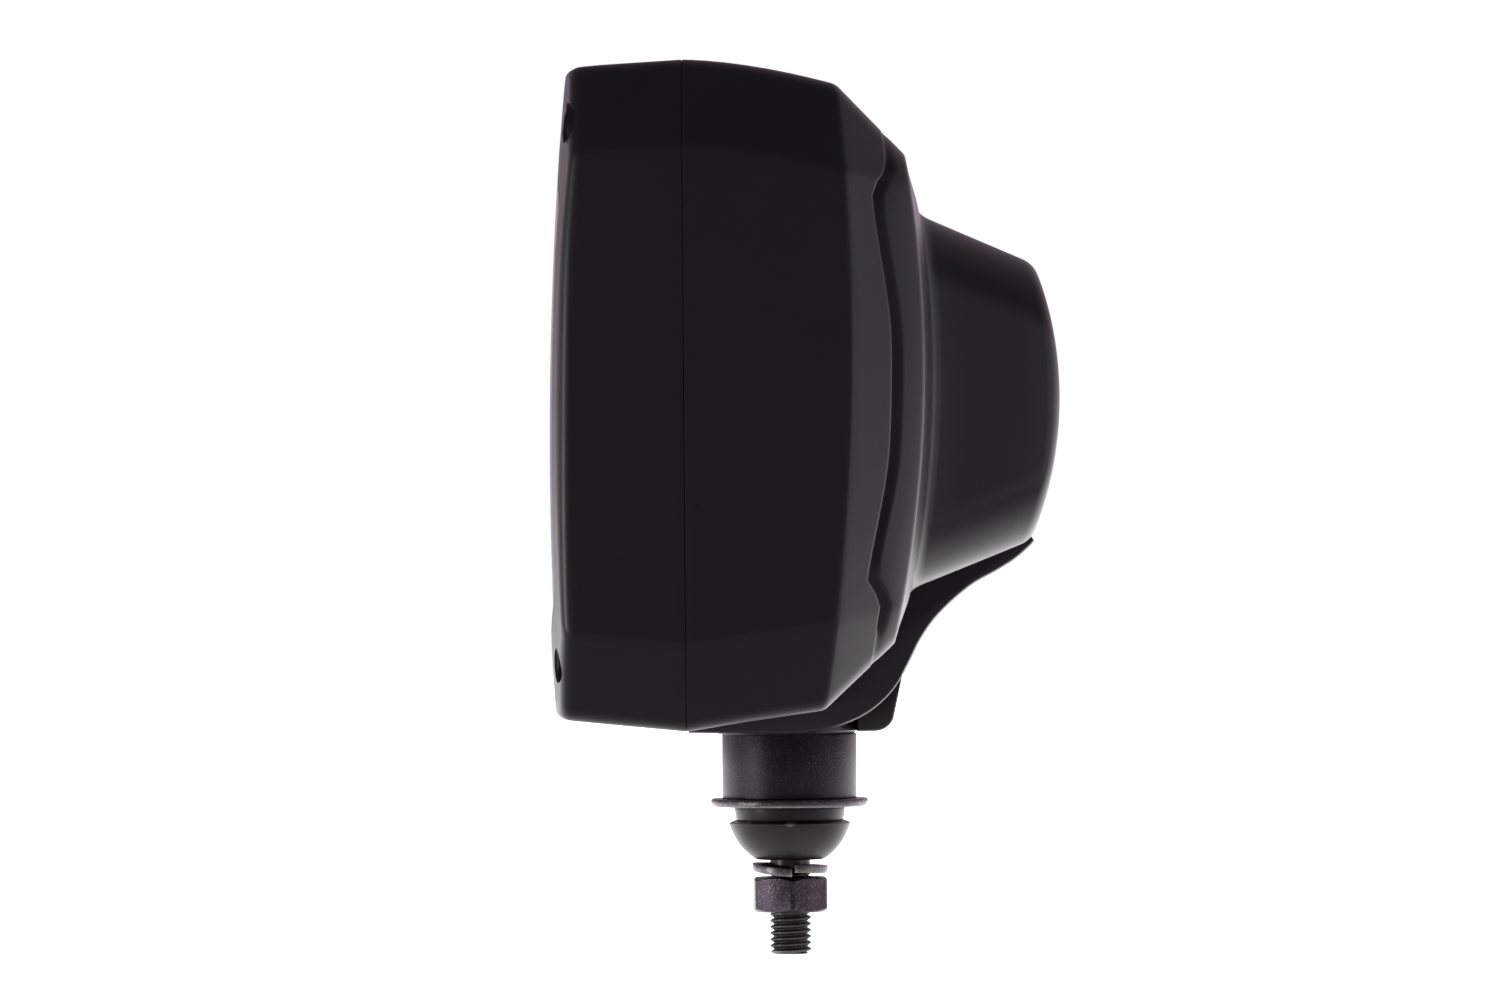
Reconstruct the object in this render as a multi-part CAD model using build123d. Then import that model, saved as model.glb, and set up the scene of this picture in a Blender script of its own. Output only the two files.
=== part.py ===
"""Stud-mounted vehicle headlamp: a two-piece moulded housing on a ball-and-cup mount.

Frame: +Z up, the lamp shines along -Y. The origin is the centre of the mounting ball, on the stud's axis
and level with the underside of the flange washer. All sizes are in millimetres.
"""
import os
from math import cos, hypot, pi, sin, sqrt

from build123d import *

# ---- driving dimensions ------------------------------------------------------------------------------
AXIS_Z = 97.4          # height of the optical axis above the ball centre
HALF_WIDTH = 110.0     # housing at its widest, on the seam
HALF_HEIGHT = 77.3
WALL = 2.6
SEAM_Y = -24.0         # plane where front bezel and rear shell meet
FACET_X = 10.0         # corner facets of the housing's outline
FACET_Z = 19.5
OUTLINE_R = 12.0

FRONT_Y = -55.9        # front face at mid height
FRONT_LEAN = 0.0164    # the front face leans back towards the top
FRONT_BOW = 5.2e-4     # and is bowed from top to bottom
BAND_X = 91.0          # outside this the front face falls away towards the sides
BAND_FALL = 2.6

PLATEAU_Y = 31.5       # rear face at mid height
PLATEAU_LEAN = 0.024
PLATEAU_BOW = -1.8e-3
BEVEL = 16.2           # width and depth of the bevel round the rear face
BEVEL_DEPTH = 16.5

BULGE_END_Y = 64.1
BULGE_END_BOW = -5.75e-3
BULGE_R = 16.0

KEEL_HALF_WIDTH = 22.0
BOSS_R = 16.3
BOSS_BOTTOM = 17.45
BOSS_TOP = 24.0

OPENING_X = 98.0       # window in the bezel that the lens fills
OPENING_Z = 61.0
OPENING_CUT = 16.0
LENS_LIP = 3.6
LENS_CUT = 18.1
WINDOW_R = 6.0
# Depths behind the front face of the layers that the bezel clamps.
LENS_FACE = 0.8
LIP_FRONT = 3.2
LIP_BACK = 5.4
GASKET_BACK = 7.8
REFLECTOR_BACK = 9.8

SCREW_X = 98.0         # four housing screws, driven from the front
SCREW_Z = 62.0
SCREW_R = 1.9
SCREW_BOSS_R = 5.4
COUNTERBORE_R = 3.8
COUNTERBORE_Y = -47.0
EAR_X = 45.0           # four small screws that pull the reflector against the bezel
EAR_Z = 68.8

FOCUS = 24.0           # focal length of the bowl
BOWL_Y = 14.0          # its vertex
BOWL_WALL = 2.0
BOWL_HALF_Z = 56.0     # the bowl is cut off by a shelf above and below
SEAT_Y = 13.0          # rear face of the bulb seat
SEAT_HOLE_R = 19.0
SEAT_R = 26.0

PIVOT_Y = 16.4         # hinge of the wire clip, along X
PIVOT_Z = 29.6         # above the optical axis
CLIP_WIRE_R = 0.8
CLIP_ARM_X = 16.5

HOLDER_X = 30.0        # position lamp, in the lower part of the bowl
HOLDER_Z = -34.0

BALL_R = 13.2
CUP_GAP = 0.05
CUP_OUTER_R = 15.07
CUP_RIM_Z = -3.7
CUP_BOTTOM_Z = -12.7
CUP_HOLE_R = 6.7
WASHER_R = 18.85
WASHER_T = 2.0
SLEEVE_R = 16.1
STUD_R = 5.0
SHANK_R = 4.8
STUD_BORE_R = 5.3
STUD_TIP_Z = -35.3
STUD_HEAD_Z = 27.0
LOCK_TOP_Z = -13.5
NUT_TOP_Z = -16.85
NUT_HEIGHT = 8.4
NUT_FLATS = 17.0
THREAD_GROOVE_R = 4.3

GROMMET_Y = 20.8
COLLAR_TOP = 32.6
PIN_R = 0.75
WIRE_R = 0.9
PLATE_SCREW = 9.8
VENT_X = -78.0
VENT_Z = 18.0

os.makedirs("parts", exist_ok=True)


def save(name, shape):
    """Writes one sub-part to its own STEP file."""
    solids = shape.solids()
    export_step(solids[0] if len(solids) == 1 else Compound(children=solids), f"parts/{name}.step")


# ---- shapes that several pieces share ----------------------------------------------------------------
def front_y(z):
    return FRONT_Y + FRONT_LEAN * z + FRONT_BOW * z * z


def plateau_y(z):
    return PLATEAU_Y + PLATEAU_LEAN * z + PLATEAU_BOW * z * z


def bulge_end_y(z):
    return BULGE_END_Y + BULGE_END_BOW * z * z


def octagon(y, half_x, up, down, cut_x=FACET_X, cut_z=FACET_Z, corner_r=OUTLINE_R):
    """Rounded eight-sided outline across the optical axis at depth y."""
    points = [
        (half_x, cut_z - down), (half_x, up - cut_z), (half_x - cut_x, up), (cut_x - half_x, up),
        (-half_x, up - cut_z), (-half_x, cut_z - down), (cut_x - half_x, -down), (half_x - cut_x, -down),
    ]
    face = make_face(Polyline(*points, close=True))
    face = fillet(face.vertices(), corner_r)
    return Plane(origin=(0, y, AXIS_Z), x_dir=(1, 0, 0), z_dir=(0, -1, 0)) * face


def window(y, depth, grow, cut=OPENING_CUT):
    """Solid prism with the window's outline, grown by a margin, reaching backwards from y by depth."""
    face = octagon(y, OPENING_X + grow, OPENING_Z + grow, OPENING_Z + grow, cut, cut, WINDOW_R)
    return extrude(face, -depth)


def rod(y0, y1, radius, x=0.0, z=0.0):
    """Cylinder along Y, placed from the optical axis."""
    plane = Plane(origin=(x, y0, AXIS_Z + z), x_dir=(1, 0, 0), z_dir=(0, 1, 0))
    return plane * Cylinder(radius, y1 - y0, align=(Align.CENTER, Align.CENTER, Align.MIN))


def post(z0, z1, radius, x=0.0, y=0.0):
    """Cylinder along Z."""
    return Pos(x, y, z0) * Cylinder(radius, z1 - z0, align=(Align.CENTER, Align.CENTER, Align.MIN))


def block(x0, x1, y0, y1, z0, z1):
    low = (Align.MIN, Align.MIN, Align.MIN)
    return Pos(x0, y0, z0) * Box(x1 - x0, y1 - y0, z1 - z0, align=low)


def turned(points, upright=True):
    """Solid of revolution about the stud's axis, or the optical axis, from (radius, height) points."""
    if upright:
        face = make_face(Polyline(*[(r, 0, h) for r, h in points], close=True))
        return revolve(face, Axis.Z)
    face = make_face(Polyline(*[(r, h, AXIS_Z) for r, h in points], close=True))
    return revolve(face, Axis((0, 0, AXIS_Z), (0, 1, 0)))


def side_region(curve_y, far_y, distance, normal, reach):
    """Face between the curve y(z) and far_y, in the upright plane through one facet's inner line.

    normal is the facet's outward direction in X and Z; distance is from the optical axis to that line.
    """
    nx, nz = normal
    tx, tz = -nz, nx

    def at(s, y=None):
        z = nz * distance + tz * s
        return (nx * distance + tx * s, curve_y(z) if y is None else y, AXIS_Z + z)

    ends = at(-reach), at(reach)
    edge = Line(*ends) if abs(tz) < 1e-6 else ThreePointArc(ends[0], at(0), ends[1])
    corners = at(reach, far_y), at(-reach, far_y)
    return make_face([edge, Line(ends[1], corners[0]), Line(*corners), Line(corners[1], ends[0])])


def beyond(curve_y, far_y, half_width=140.0):
    """Solid behind or in front of a face that is bowed in height and straight in width."""
    face = side_region(curve_y, far_y, half_width, (1, 0), 95.0)
    return extrude(face, 2 * half_width, dir=(-1, 0, 0))


def slab(near, far):
    """Curved sheet between two depths behind the front face."""
    return beyond(lambda z: front_y(z) + near, -20) - beyond(lambda z: front_y(z) + far, -20)


# ---- housing -----------------------------------------------------------------------------------------
REAR_SECTIONS = [(SEAM_Y, 110.0, 77.3, 77.3), (-9.0, 109.6, 75.9, 75.3), (5.0, 108.9, 73.1, 72.7),
                 (15.0, 108.2, 70.4, 70.5), (40.0, 106.4, 63.4, 64.8)]
FRONT_SECTIONS = [(SEAM_Y, 110.0, 77.3, 77.3), (-62.0, 107.0, 75.2, 73.6)]


def bevel_facets():
    """(outward normal, distance of the bevel's inner line) for the eight sides of the rear face."""
    size = hypot(FACET_X, FACET_Z)
    corner = (FACET_Z / size, FACET_X / size)
    facets = [((1, 0), 92.0), ((-1, 0), 92.0), ((0, 1), 55.4), ((0, -1), 57.5)]
    for sx in (1, -1):
        for sz in (1, -1):
            facets.append(((sx * corner[0], sz * corner[1]), 104.2))
    return facets


def rear_block(inset):
    """Body of the rear shell without bulge and keel, inset from its outer surface."""
    body = loft([octagon(y, hx - inset, up - inset, down - inset) for y, hx, up, down in REAR_SECTIONS])
    body -= beyond(lambda z: plateau_y(z) - inset, 90)
    shift = 0.42 * inset
    for (nx, nz), distance in bevel_facets():
        region = side_region(lambda z: plateau_y(z) - shift, 90, distance - shift, (nx, nz), 150)
        body -= extrude(region, 2.2 * BEVEL, dir=(nx * BEVEL, -BEVEL_DEPTH, nz * BEVEL))
    return body


def bulge(inset):
    """Hump behind the bulb, inset from its outer surface."""
    near = (18.0, 65.2, 48.1, 49.5)
    far = (68.0, 41.2, 27.2, 29.9)

    def section(y, half_x, up, down):
        size = 2 * (half_x - inset), up + down - 2 * inset
        face = Pos(0, (up - down) / 2) * RectangleRounded(*size, BULGE_R)
        return Plane(origin=(0, y, AXIS_Z), x_dir=(1, 0, 0), z_dir=(0, -1, 0)) * face

    solid = loft([section(*near), section(*far)])
    return solid - beyond(lambda z: bulge_end_y(z) - inset, 110)


def keel(inset):
    """Narrow spine under the housing that carries the boss, inset from its outer surface."""
    edges = [
        Line((-24.0 + inset, 20.2), (-12.0, 18.0)),
        Line((-12.0, 18.0), (0.0, 17.6)),
        ThreePointArc((0.0, 17.6), (14.7, 20.9), (26.6, 30.2)),
        ThreePointArc((26.6, 30.2), (34.2, 44.4), (46.8, 54.8)),
        ThreePointArc((46.8, 54.8), (53.2, 58.2), (57.6, 62.6)),
        Polyline((57.6, 62.6), (44.0, 84.0), (-24.0 + inset, 44.0), (-24.0 + inset, 20.2)),
    ]
    face = make_face(edges)
    if inset:
        face = offset(face, -inset, kind=Kind.INTERSECTION)
    half = KEEL_HALF_WIDTH - inset
    return extrude(Plane(origin=(-half, 0, 0), x_dir=(0, 1, 0), z_dir=(1, 0, 0)) * face, 2 * half)


def corner_spots():
    return [(sx * SCREW_X, sz * SCREW_Z) for sx in (1, -1) for sz in (1, -1)]


def plate_screw_spots():
    return [(sx * PLATE_SCREW, sy * PLATE_SCREW) for sx in (1, -1) for sy in (1, -1)]


def gasket_ring(slack=0.0):
    """Seal in the rebate between the two halves of the housing."""
    y0, y1 = SEAM_Y - 1.2 + slack, SEAM_Y + 1.2 - slack
    outer = HALF_WIDTH - 1.4 - slack, HALF_HEIGHT - 1.4 - slack
    inner = outer[0] - 1.3 + 2 * slack, outer[1] - 1.3 + 2 * slack
    ring = octagon(y0, outer[0], outer[1], outer[1]) - octagon(y0, inner[0], inner[1], inner[1])
    return extrude(ring, y0 - y1)


def make_rear_shell():
    outer = rear_block(0) + bulge(0) + keel(0)
    inner = rear_block(WALL) + bulge(WALL)
    shell = outer - inner - keel(WALL)
    shell += post(BOSS_BOTTOM, BOSS_TOP, BOSS_R)
    for x, z in corner_spots():
        shell += rod(SEAM_Y, 0, SCREW_BOSS_R, x, z)
        shell -= rod(SEAM_Y - 1, -4, SCREW_R + 0.05, x, z)
    shell -= post(BOSS_BOTTOM - 1, BOSS_TOP + 1, STUD_BORE_R)
    for x, y in plate_screw_spots():
        shell -= post(20.3, BOSS_TOP + 1, 1.55, x, y)
    shell += post(22, COLLAR_TOP, 7.5, 0, GROMMET_Y) & keel(0)
    shell -= post(15, 40, 5.3, 0, GROMMET_Y)
    shell -= rod(plateau_y(VENT_Z) - 0.4, 50, 6.9, VENT_X, VENT_Z)
    shell -= rod(20, 50, 3.3, VENT_X, VENT_Z)
    return shell - gasket_ring()


def ear_spots():
    return [(sx * EAR_X, sz * EAR_Z) for sx in (1, -1) for sz in (1, -1)]


def make_front_bezel():
    def body(inset):
        rings = [octagon(y, x - inset, up - inset, down - inset) for y, x, up, down in FRONT_SECTIONS]
        solid = loft(rings)
        solid -= beyond(lambda z: front_y(z) + inset, -90)
        for side in (1, -1):
            region = side_region(lambda z: front_y(z) + inset, -90, BAND_X, (side, 0), 95)
            solid -= extrude(region, 30, dir=(side * (HALF_WIDTH - BAND_X), BAND_FALL, 0))
        return solid

    outer = body(0)
    bezel = outer - body(WALL) - window(-70, 40, 0)
    bezel -= slab(LIP_FRONT - 0.1, 20) & window(-70, 60, LENS_LIP, LENS_CUT)
    for x, z in corner_spots():
        bezel += rod(-52, SEAM_Y, SCREW_BOSS_R, x, z) & outer
        bezel -= rod(-70, COUNTERBORE_Y, COUNTERBORE_R, x, z)
        bezel -= rod(-60, -20, SCREW_R + 0.3, x, z)
    for x, z in ear_spots():
        y = front_y(z)
        bezel += rod(y + 1.5, y + GASKET_BACK - 0.05, 3.4, x, z)
        bezel -= rod(y + WALL + 0.8, y + GASKET_BACK + 1, 1.45, x, z)
    return bezel - gasket_ring()


def make_bezel_screws():
    """Long countersunk-in screws with a hexagon socket in a cylindrical head."""
    screws = None
    for x, z in corner_spots():
        screw = rod(COUNTERBORE_Y - 2.6, COUNTERBORE_Y, 3.5, x, z) + rod(COUNTERBORE_Y, -6, SCREW_R, x, z)
        socket = Plane(origin=(x, COUNTERBORE_Y - 1.2, AXIS_Z + z), z_dir=(0, -1, 0))
        screw -= extrude(socket * RegularPolygon(1.73, 6), 3)
        screws = screw if screws is None else screws + screw
    return screws


# ---- lens, seals and reflector -----------------------------------------------------------------------
def make_lens():
    pad = slab(LENS_FACE, LIP_BACK) & window(-70, 40, -0.5)
    lip = slab(LIP_FRONT, LIP_BACK) & window(-70, 60, LENS_LIP - 0.3, LENS_CUT)
    return pad + lip


def make_lens_gasket():
    ring = window(-70, 60, LENS_LIP - 0.3, LENS_CUT) - window(-70, 60, -0.8)
    return slab(LIP_BACK + 0.03, GASKET_BACK - 0.03) & ring


def bowl_space(grow):
    """Space inside the bowl: a paraboloid cut off by two level shelves, grown by the wall's thickness."""
    deep = BOWL_Y + 1.25 * grow
    points = [(r, deep - r * r / (4 * FOCUS), AXIS_Z) for r in range(0, 96, 5)]
    mouth = (0, points[-1][1], AXIS_Z)
    curve = Spline(*points, tangents=[(1, 0), (1, -2)])
    face = make_face([curve, Line(points[-1], mouth), Line(mouth, points[0])])
    half = BOWL_HALF_Z + grow
    between = block(-150, 150, -90, 60, AXIS_Z - half, AXIS_Z + half)
    return revolve(face, Axis((0, 0, AXIS_Z), (0, 1, 0))) & between


def make_inner_trim():
    plate = slab(LIP_BACK + 0.6, GASKET_BACK - 0.03) & window(-70, 60, -1.2)
    return plate - bowl_space(0.5)


def make_reflector():
    """Bowl with its flange, the bulb's seat, the clip's bearings and the collar of the position lamp."""
    inside = bowl_space(0)
    flange = slab(GASKET_BACK, REFLECTOR_BACK) & window(-70, 60, LENS_LIP - 0.3, LENS_CUT)
    body = bowl_space(BOWL_WALL) - beyond(lambda z: front_y(z) + GASKET_BACK + 1, -120) + flange
    body += rod(6, SEAT_Y, SEAT_R)
    body += block(-11, 11, 8, SEAT_Y, AXIS_Z + 20, AXIS_Z + 32.5)
    for side in (1, -1):
        ear = rod_x(side * 6, side * 9, 2.9) + block(6, 9, 10, PIVOT_Y, 0, 5.8).moved(
            Location((min(0, side * 15), 0, AXIS_Z + PIVOT_Z - 2.9)))
        body += ear
        body += block(22.0, 28.0, 4, 14.5, 0, 8).moved(Location((0 if side > 0 else -50, 0, AXIS_Z - 16)))
    body += rod(-16, 4, 8.6, HOLDER_X, HOLDER_Z)
    for x, z in ear_spots():
        y = front_y(z) + GASKET_BACK
        reach = z - 7 if z > 0 else z
        body += rod(y, y + 2, 3.6, x, z)
        body += block(x - 3.6, x + 3.6, y, y + 2, AXIS_Z + reach, AXIS_Z + reach + 7)
        body -= rod(y - 1, y + 4, 1.6, x, z)
    body -= inside
    body -= rod(-10, 30, SEAT_HOLE_R)
    body -= rod(-30, 30, 6.0, HOLDER_X, HOLDER_Z)
    return body - rod_x(-12, 12, CLIP_WIRE_R + 0.05)


def rod_x(x0, x1, radius):
    """Cylinder along X on the clip's hinge line."""
    plane = Plane(origin=(min(x0, x1), PIVOT_Y, AXIS_Z + PIVOT_Z), x_dir=(0, 1, 0), z_dir=(1, 0, 0))
    return plane * Cylinder(radius, abs(x1 - x0), align=(Align.CENTER, Align.CENTER, Align.MIN))


def make_reflector_screws():
    screws = None
    for x, z in ear_spots():
        y = front_y(z) + REFLECTOR_BACK + 0.02
        screw = rod(y, y + 1.8, 2.8, x, z) + rod(y - 5.6, y, 1.4, x, z)
        screw -= block(x - 2.2, x + 2.2, y + 1.0, y + 3, AXIS_Z + z - 0.35, AXIS_Z + z + 0.35)
        screws = screw if screws is None else screws + screw
    return screws


# ---- bulbs -------------------------------------------------------------------------------------------
def wire(points, radius, bend):
    """Round wire along straight runs with rounded bends."""
    path = FilletPolyline(*points, radius=bend)
    return sweep(Plane(origin=path @ 0, z_dir=path % 0) * Circle(radius), path=path)


def dome(radius, y_end, height, steps=8):
    """Profile points of a domed tip, from the tip back to the full radius."""
    return [(radius * sin(pi / 2 * i / steps), y_end + height * (1 - cos(pi / 2 * i / steps)))
            for i in range(steps + 1)]


def make_bulb_glass():
    outside = dome(8.5, -31.0, 7.0) + [(8.5, 3.0), (0.0, 3.0)]
    inside = dome(7.5, -30.0, 6.0) + [(7.5, -1.0), (0.0, -1.0)]
    return turned(outside, False) - turned(inside, False)


def make_bulb_filaments():
    """Two filaments on their support wires, with the dipping shield under the front one."""
    def lead(x, z, y):
        return rod(y, -1.0, 0.4, x, z)

    dipped = rod(-18.5, -13.5, 0.8, 0, 1.2) + lead(3.4, 1.2, -19.0) + lead(-3.4, 1.2, -13.4)
    dipped += block(0, 3.4, -19.0, -18.2, AXIS_Z + 0.8, AXIS_Z + 1.6)
    dipped += block(-3.4, 0, -13.8, -13.0, AXIS_Z + 0.8, AXIS_Z + 1.6)
    shield = rod(-20.5, -11.5, 4.6) - rod(-20.0, -11.9, 4.2)
    shield -= block(-9, 9, -25, 0, AXIS_Z - 0.6, AXIS_Z + 9)
    shield += block(-0.5, 0.5, -11.9, -1.0, AXIS_Z - 4.6, AXIS_Z - 3.6)
    main = rod(-10.5, -5.5, 0.8, 0, -0.6) + lead(1.6, -2.6, -10.9) + lead(-1.6, -2.6, -5.3)
    main += block(-0.4, 2.0, -10.9, -10.1, AXIS_Z - 3.0, AXIS_Z - 0.2)
    main += block(-2.0, 0.4, -5.9, -5.1, AXIS_Z - 3.0, AXIS_Z - 0.2)
    return dipped + shield + main


def make_bulb_base():
    profile = [(0, 3.05), (9.6, 3.05), (9.6, 8.0), (13.0, 8.0), (13.0, 10.5), (18.2, 10.5),
               (18.2, 13.05), (21.5, 13.05), (21.5, 14.5), (12.5, 14.5), (12.5, 21.0), (0, 21.0)]
    return turned(profile, False)


def make_bulb_terminals():
    blades = block(-4, 4, 21.05, 30, AXIS_Z + 6.6, AXIS_Z + 7.4)
    for side in (1, -1):
        blades += block(side * 7 - 0.4, side * 7 + 0.4, 21.05, 30, AXIS_Z - 6, AXIS_Z + 2)
    return blades


def make_bulb_plug():
    body = block(-12, 12, 21.1, 38, AXIS_Z - 9, AXIS_Z + 10)
    body = fillet(body.edges().filter_by(Axis.Y), 3)
    body -= block(-4.1, 4.1, 20, 30.2, AXIS_Z + 6.45, AXIS_Z + 7.55)
    for side in (1, -1):
        body -= block(side * 7 - 0.55, side * 7 + 0.55, 20, 30.2, AXIS_Z - 6.1, AXIS_Z + 2.1)
    for x in (-6, 0, 6):
        body -= rod(34, 40, 0.95, x, -2)
    return body


def make_bulb_clip():
    x = CLIP_ARM_X
    top, mid, low = AXIS_Z + PIVOT_Z, AXIS_Z + 13, AXIS_Z - 8
    over = 14.5 + CLIP_WIRE_R + 0.05
    points = [(24.8, over, AXIS_Z - 12), (x, over, low), (x, over, mid), (x, PIVOT_Y, top),
              (-x, PIVOT_Y, top), (-x, over, mid), (-x, over, low), (-24.8, over, AXIS_Z - 12)]
    return wire(points, CLIP_WIRE_R, 1.6)


def make_position_bulb():
    outside = [(r, y) for r, y in dome(4.9, -25.0, 4.0)] + [(4.9, -11.0), (3.0, -8.2), (0.0, -8.2)]
    inside = [(r, y) for r, y in dome(4.2, -24.3, 3.4)] + [(4.2, -12.0), (0.0, -10.0)]
    return (turned(outside, False) - turned(inside, False)).moved(Location((HOLDER_X, 0, HOLDER_Z)))


def make_position_holder():
    profile = [(0, -8.1), (5.95, -8.1), (5.95, 4.05), (8.2, 4.05), (8.2, 6.0), (4.8, 6.0),
               (4.8, 13.0), (0, 13.0)]
    holder = turned(profile, False)
    holder = holder.moved(Location((HOLDER_X, 0, HOLDER_Z)))
    for side in (1, -1):
        holder -= rod(10, 14, 0.95, HOLDER_X + 2 * side, HOLDER_Z)
    return holder


# ---- supply ------------------------------------------------------------------------------------------
def pin_spots():
    return [(x, GROMMET_Y) for x in (-3.9, -1.3, 1.3, 3.9)]


def make_lead_wires():
    """Three wires to the headlamp bulb and one to the position lamp, from the pins of the inlet."""
    y, z, low = GROMMET_Y, AXIS_Z, 35.2
    runs = [
        [(-3.9, y, low), (-3.9, 24, 46), (-6, 42, 68), (-6, 47, z - 14), (-6, 47, z - 2), (-6, 35, z - 2)],
        [(-1.3, y, low), (-1.3, 25, 45), (0, 45, 66), (0, 50, z - 14), (0, 50, z - 2), (0, 35, z - 2)],
        [(1.3, y, low), (2.4, 24, 46), (6, 42, 68), (6, 47, z - 14), (6, 47, z - 2), (6, 35, z - 2)],
        [(3.9, y, low), (5, 20, 42), (24, 22, 55), (32, 22, z + HOLDER_Z), (32, 11, z + HOLDER_Z)],
    ]
    wires = None
    for run in runs:
        one = wire(run, WIRE_R, 3.0)
        wires = one if wires is None else wires + one
    return wires


def make_inlet_socket():
    """Downward-facing shroud of the supply connector, fitted into the spine behind the boss."""
    low, high = 18.0, 31.0
    side = make_face([
        Line((17.6, low), (20.4, low)), ThreePointArc((20.4, low), (23.6, 19.1), (25.1, 22.2)),
        Polyline((25.1, 22.2), (27.0, high), (17.6, high), (17.6, low)),
    ])
    body = extrude(Plane(origin=(-10.5, 0, 0), x_dir=(0, 1, 0), z_dir=(1, 0, 0)) * side, 21)
    body -= keel(0)
    body -= block(-9.2, 9.2, 18.9, 23.5, 10, 22.4)
    body += post(21.9, COLLAR_TOP + 0.5, 5.25, 0, GROMMET_Y)
    body += post(COLLAR_TOP + 0.05, COLLAR_TOP + 1.6, 6.4, 0, GROMMET_Y) & keel(WALL + 0.1)
    for x, y in pin_spots():
        body -= post(10, 40, PIN_R + 0.05, x, y)
    return body


def make_inlet_pins():
    pins = None
    for x, y in pin_spots():
        pin = post(19.2, 34.9, PIN_R, x, y)
        pins = pin if pins is None else pins + pin
    return pins


def make_breather_cap():
    y = plateau_y(VENT_Z) - 0.35
    cap = rod(y, y + 3.0, 6.5, VENT_X, VENT_Z) + rod(y - WALL - 2, y + 1, 3.2, VENT_X, VENT_Z)
    cap += rod(y - WALL - 2.2, y - WALL - 0.5, 4.2, VENT_X, VENT_Z)
    return cap - rod(y - 10, y + 2, 1.2, VENT_X, VENT_Z)


# ---- mount -------------------------------------------------------------------------------------------
def hexagon(z0, z1, flats, chamfered=True, vertex_angle=0):
    """Hexagonal prism with its ends turned down to a cone; a vertex points along +X."""
    corner = flats / sqrt(3)
    face = Plane(origin=(0, 0, z0)) * RegularPolygon(corner, 6, rotation=vertex_angle)
    body = extrude(face, z1 - z0)
    if not chamfered:
        return body
    drop = (corner - 0.48 * flats) * 0.577
    r = 0.48 * flats
    return body & turned([(0, z0), (r, z0), (corner, z0 + drop), (corner, z1 - drop), (r, z1), (0, z1)])


def make_stud_plate():
    plate = block(-14, 14, -14, 12.9, BOSS_TOP + 0.02, STUD_HEAD_Z - 0.02)
    plate -= post(20, 30, STUD_BORE_R)
    for x, y in plate_screw_spots():
        plate -= post(20, 30, 1.8, x, y)
    return plate


def make_plate_screws():
    screws = None
    for x, y in plate_screw_spots():
        screw = post(STUD_HEAD_Z, STUD_HEAD_Z + 1.8, 2.5, x, y) + post(20.5, STUD_HEAD_Z, 1.5, x, y)
        screw -= block(x - 2, x + 2, y - 0.3, y + 0.3, STUD_HEAD_Z + 1, STUD_HEAD_Z + 3)
        screws = screw if screws is None else screws + screw
    return screws


def make_mounting_stud():
    free_top = NUT_TOP_Z - NUT_HEIGHT - 0.1
    stud = turned([(0, STUD_HEAD_Z), (SHANK_R, STUD_HEAD_Z), (SHANK_R, free_top), (STUD_R, free_top),
                   (STUD_R, STUD_TIP_Z + 0.9), (STUD_R - 0.9, STUD_TIP_Z), (0, STUD_TIP_Z)])
    return stud + hexagon(STUD_HEAD_Z, STUD_HEAD_Z + 6.4, NUT_FLATS)


def make_mount_sleeve():
    return post(WASHER_T + 0.02, BOSS_BOTTOM - 0.03, SLEEVE_R) - post(0, 20, STUD_BORE_R)


def make_flange_washer():
    washer = post(0, WASHER_T, WASHER_R) - post(-1, 5, STUD_BORE_R)
    return fillet(washer.edges().filter_by(GeomType.CIRCLE).group_by(SortBy.RADIUS)[-1], 0.5)


def make_ball_ring():
    zone = Sphere(BALL_R) & post(-10, -0.02, 20)
    return zone - post(-20, 5, STUD_BORE_R)


def make_ball_cup():
    shell = Sphere(CUP_OUTER_R) - Sphere(BALL_R + CUP_GAP)
    shell &= post(CUP_BOTTOM_Z, CUP_RIM_Z, 20)
    return shell - post(-20, 0, CUP_HOLE_R)


def make_spring_washer():
    """Split ring, one turn of a flat helix with a slanting gap towards +X."""
    inner, outer, thick, rise = 5.2, 9.05, 2.2, 1.1
    middle = (inner + outer) / 2
    start = LOCK_TOP_Z - rise - thick / 2
    path = Helix(pitch=rise, height=rise * 0.975, radius=middle, center=(0, 0, start))
    section = Plane(origin=path @ 0, x_dir=(1, 0, 0), z_dir=path % 0) * Rectangle(outer - inner, thick)
    return sweep(section, path=path, is_frenet=True)


def make_hex_nut():
    nut = hexagon(NUT_TOP_Z - NUT_HEIGHT, NUT_TOP_Z, NUT_FLATS)
    return nut - post(-40, 0, STUD_R + 0.06)


SUB_PARTS = {
    "front_bezel": make_front_bezel,
    "bezel_screws": make_bezel_screws,
    "seam_gasket": lambda: gasket_ring(0.03),
    "rear_shell": make_rear_shell,
    "breather_cap": make_breather_cap,
    "lens": make_lens,
    "lens_gasket": make_lens_gasket,
    "inner_trim": make_inner_trim,
    "reflector": make_reflector,
    "reflector_screws": make_reflector_screws,
    "bulb_glass": make_bulb_glass,
    "bulb_filaments": make_bulb_filaments,
    "bulb_base": make_bulb_base,
    "bulb_terminals": make_bulb_terminals,
    "bulb_plug": make_bulb_plug,
    "bulb_clip": make_bulb_clip,
    "position_bulb": make_position_bulb,
    "position_holder": make_position_holder,
    "lead_wires": make_lead_wires,
    "inlet_socket": make_inlet_socket,
    "inlet_pins": make_inlet_pins,
    "stud_plate": make_stud_plate,
    "plate_screws": make_plate_screws,
    "mounting_stud": make_mounting_stud,
    "mount_sleeve": make_mount_sleeve,
    "flange_washer": make_flange_washer,
    "ball_ring": make_ball_ring,
    "ball_cup": make_ball_cup,
    "spring_washer": make_spring_washer,
    "hex_nut": make_hex_nut,
}

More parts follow.
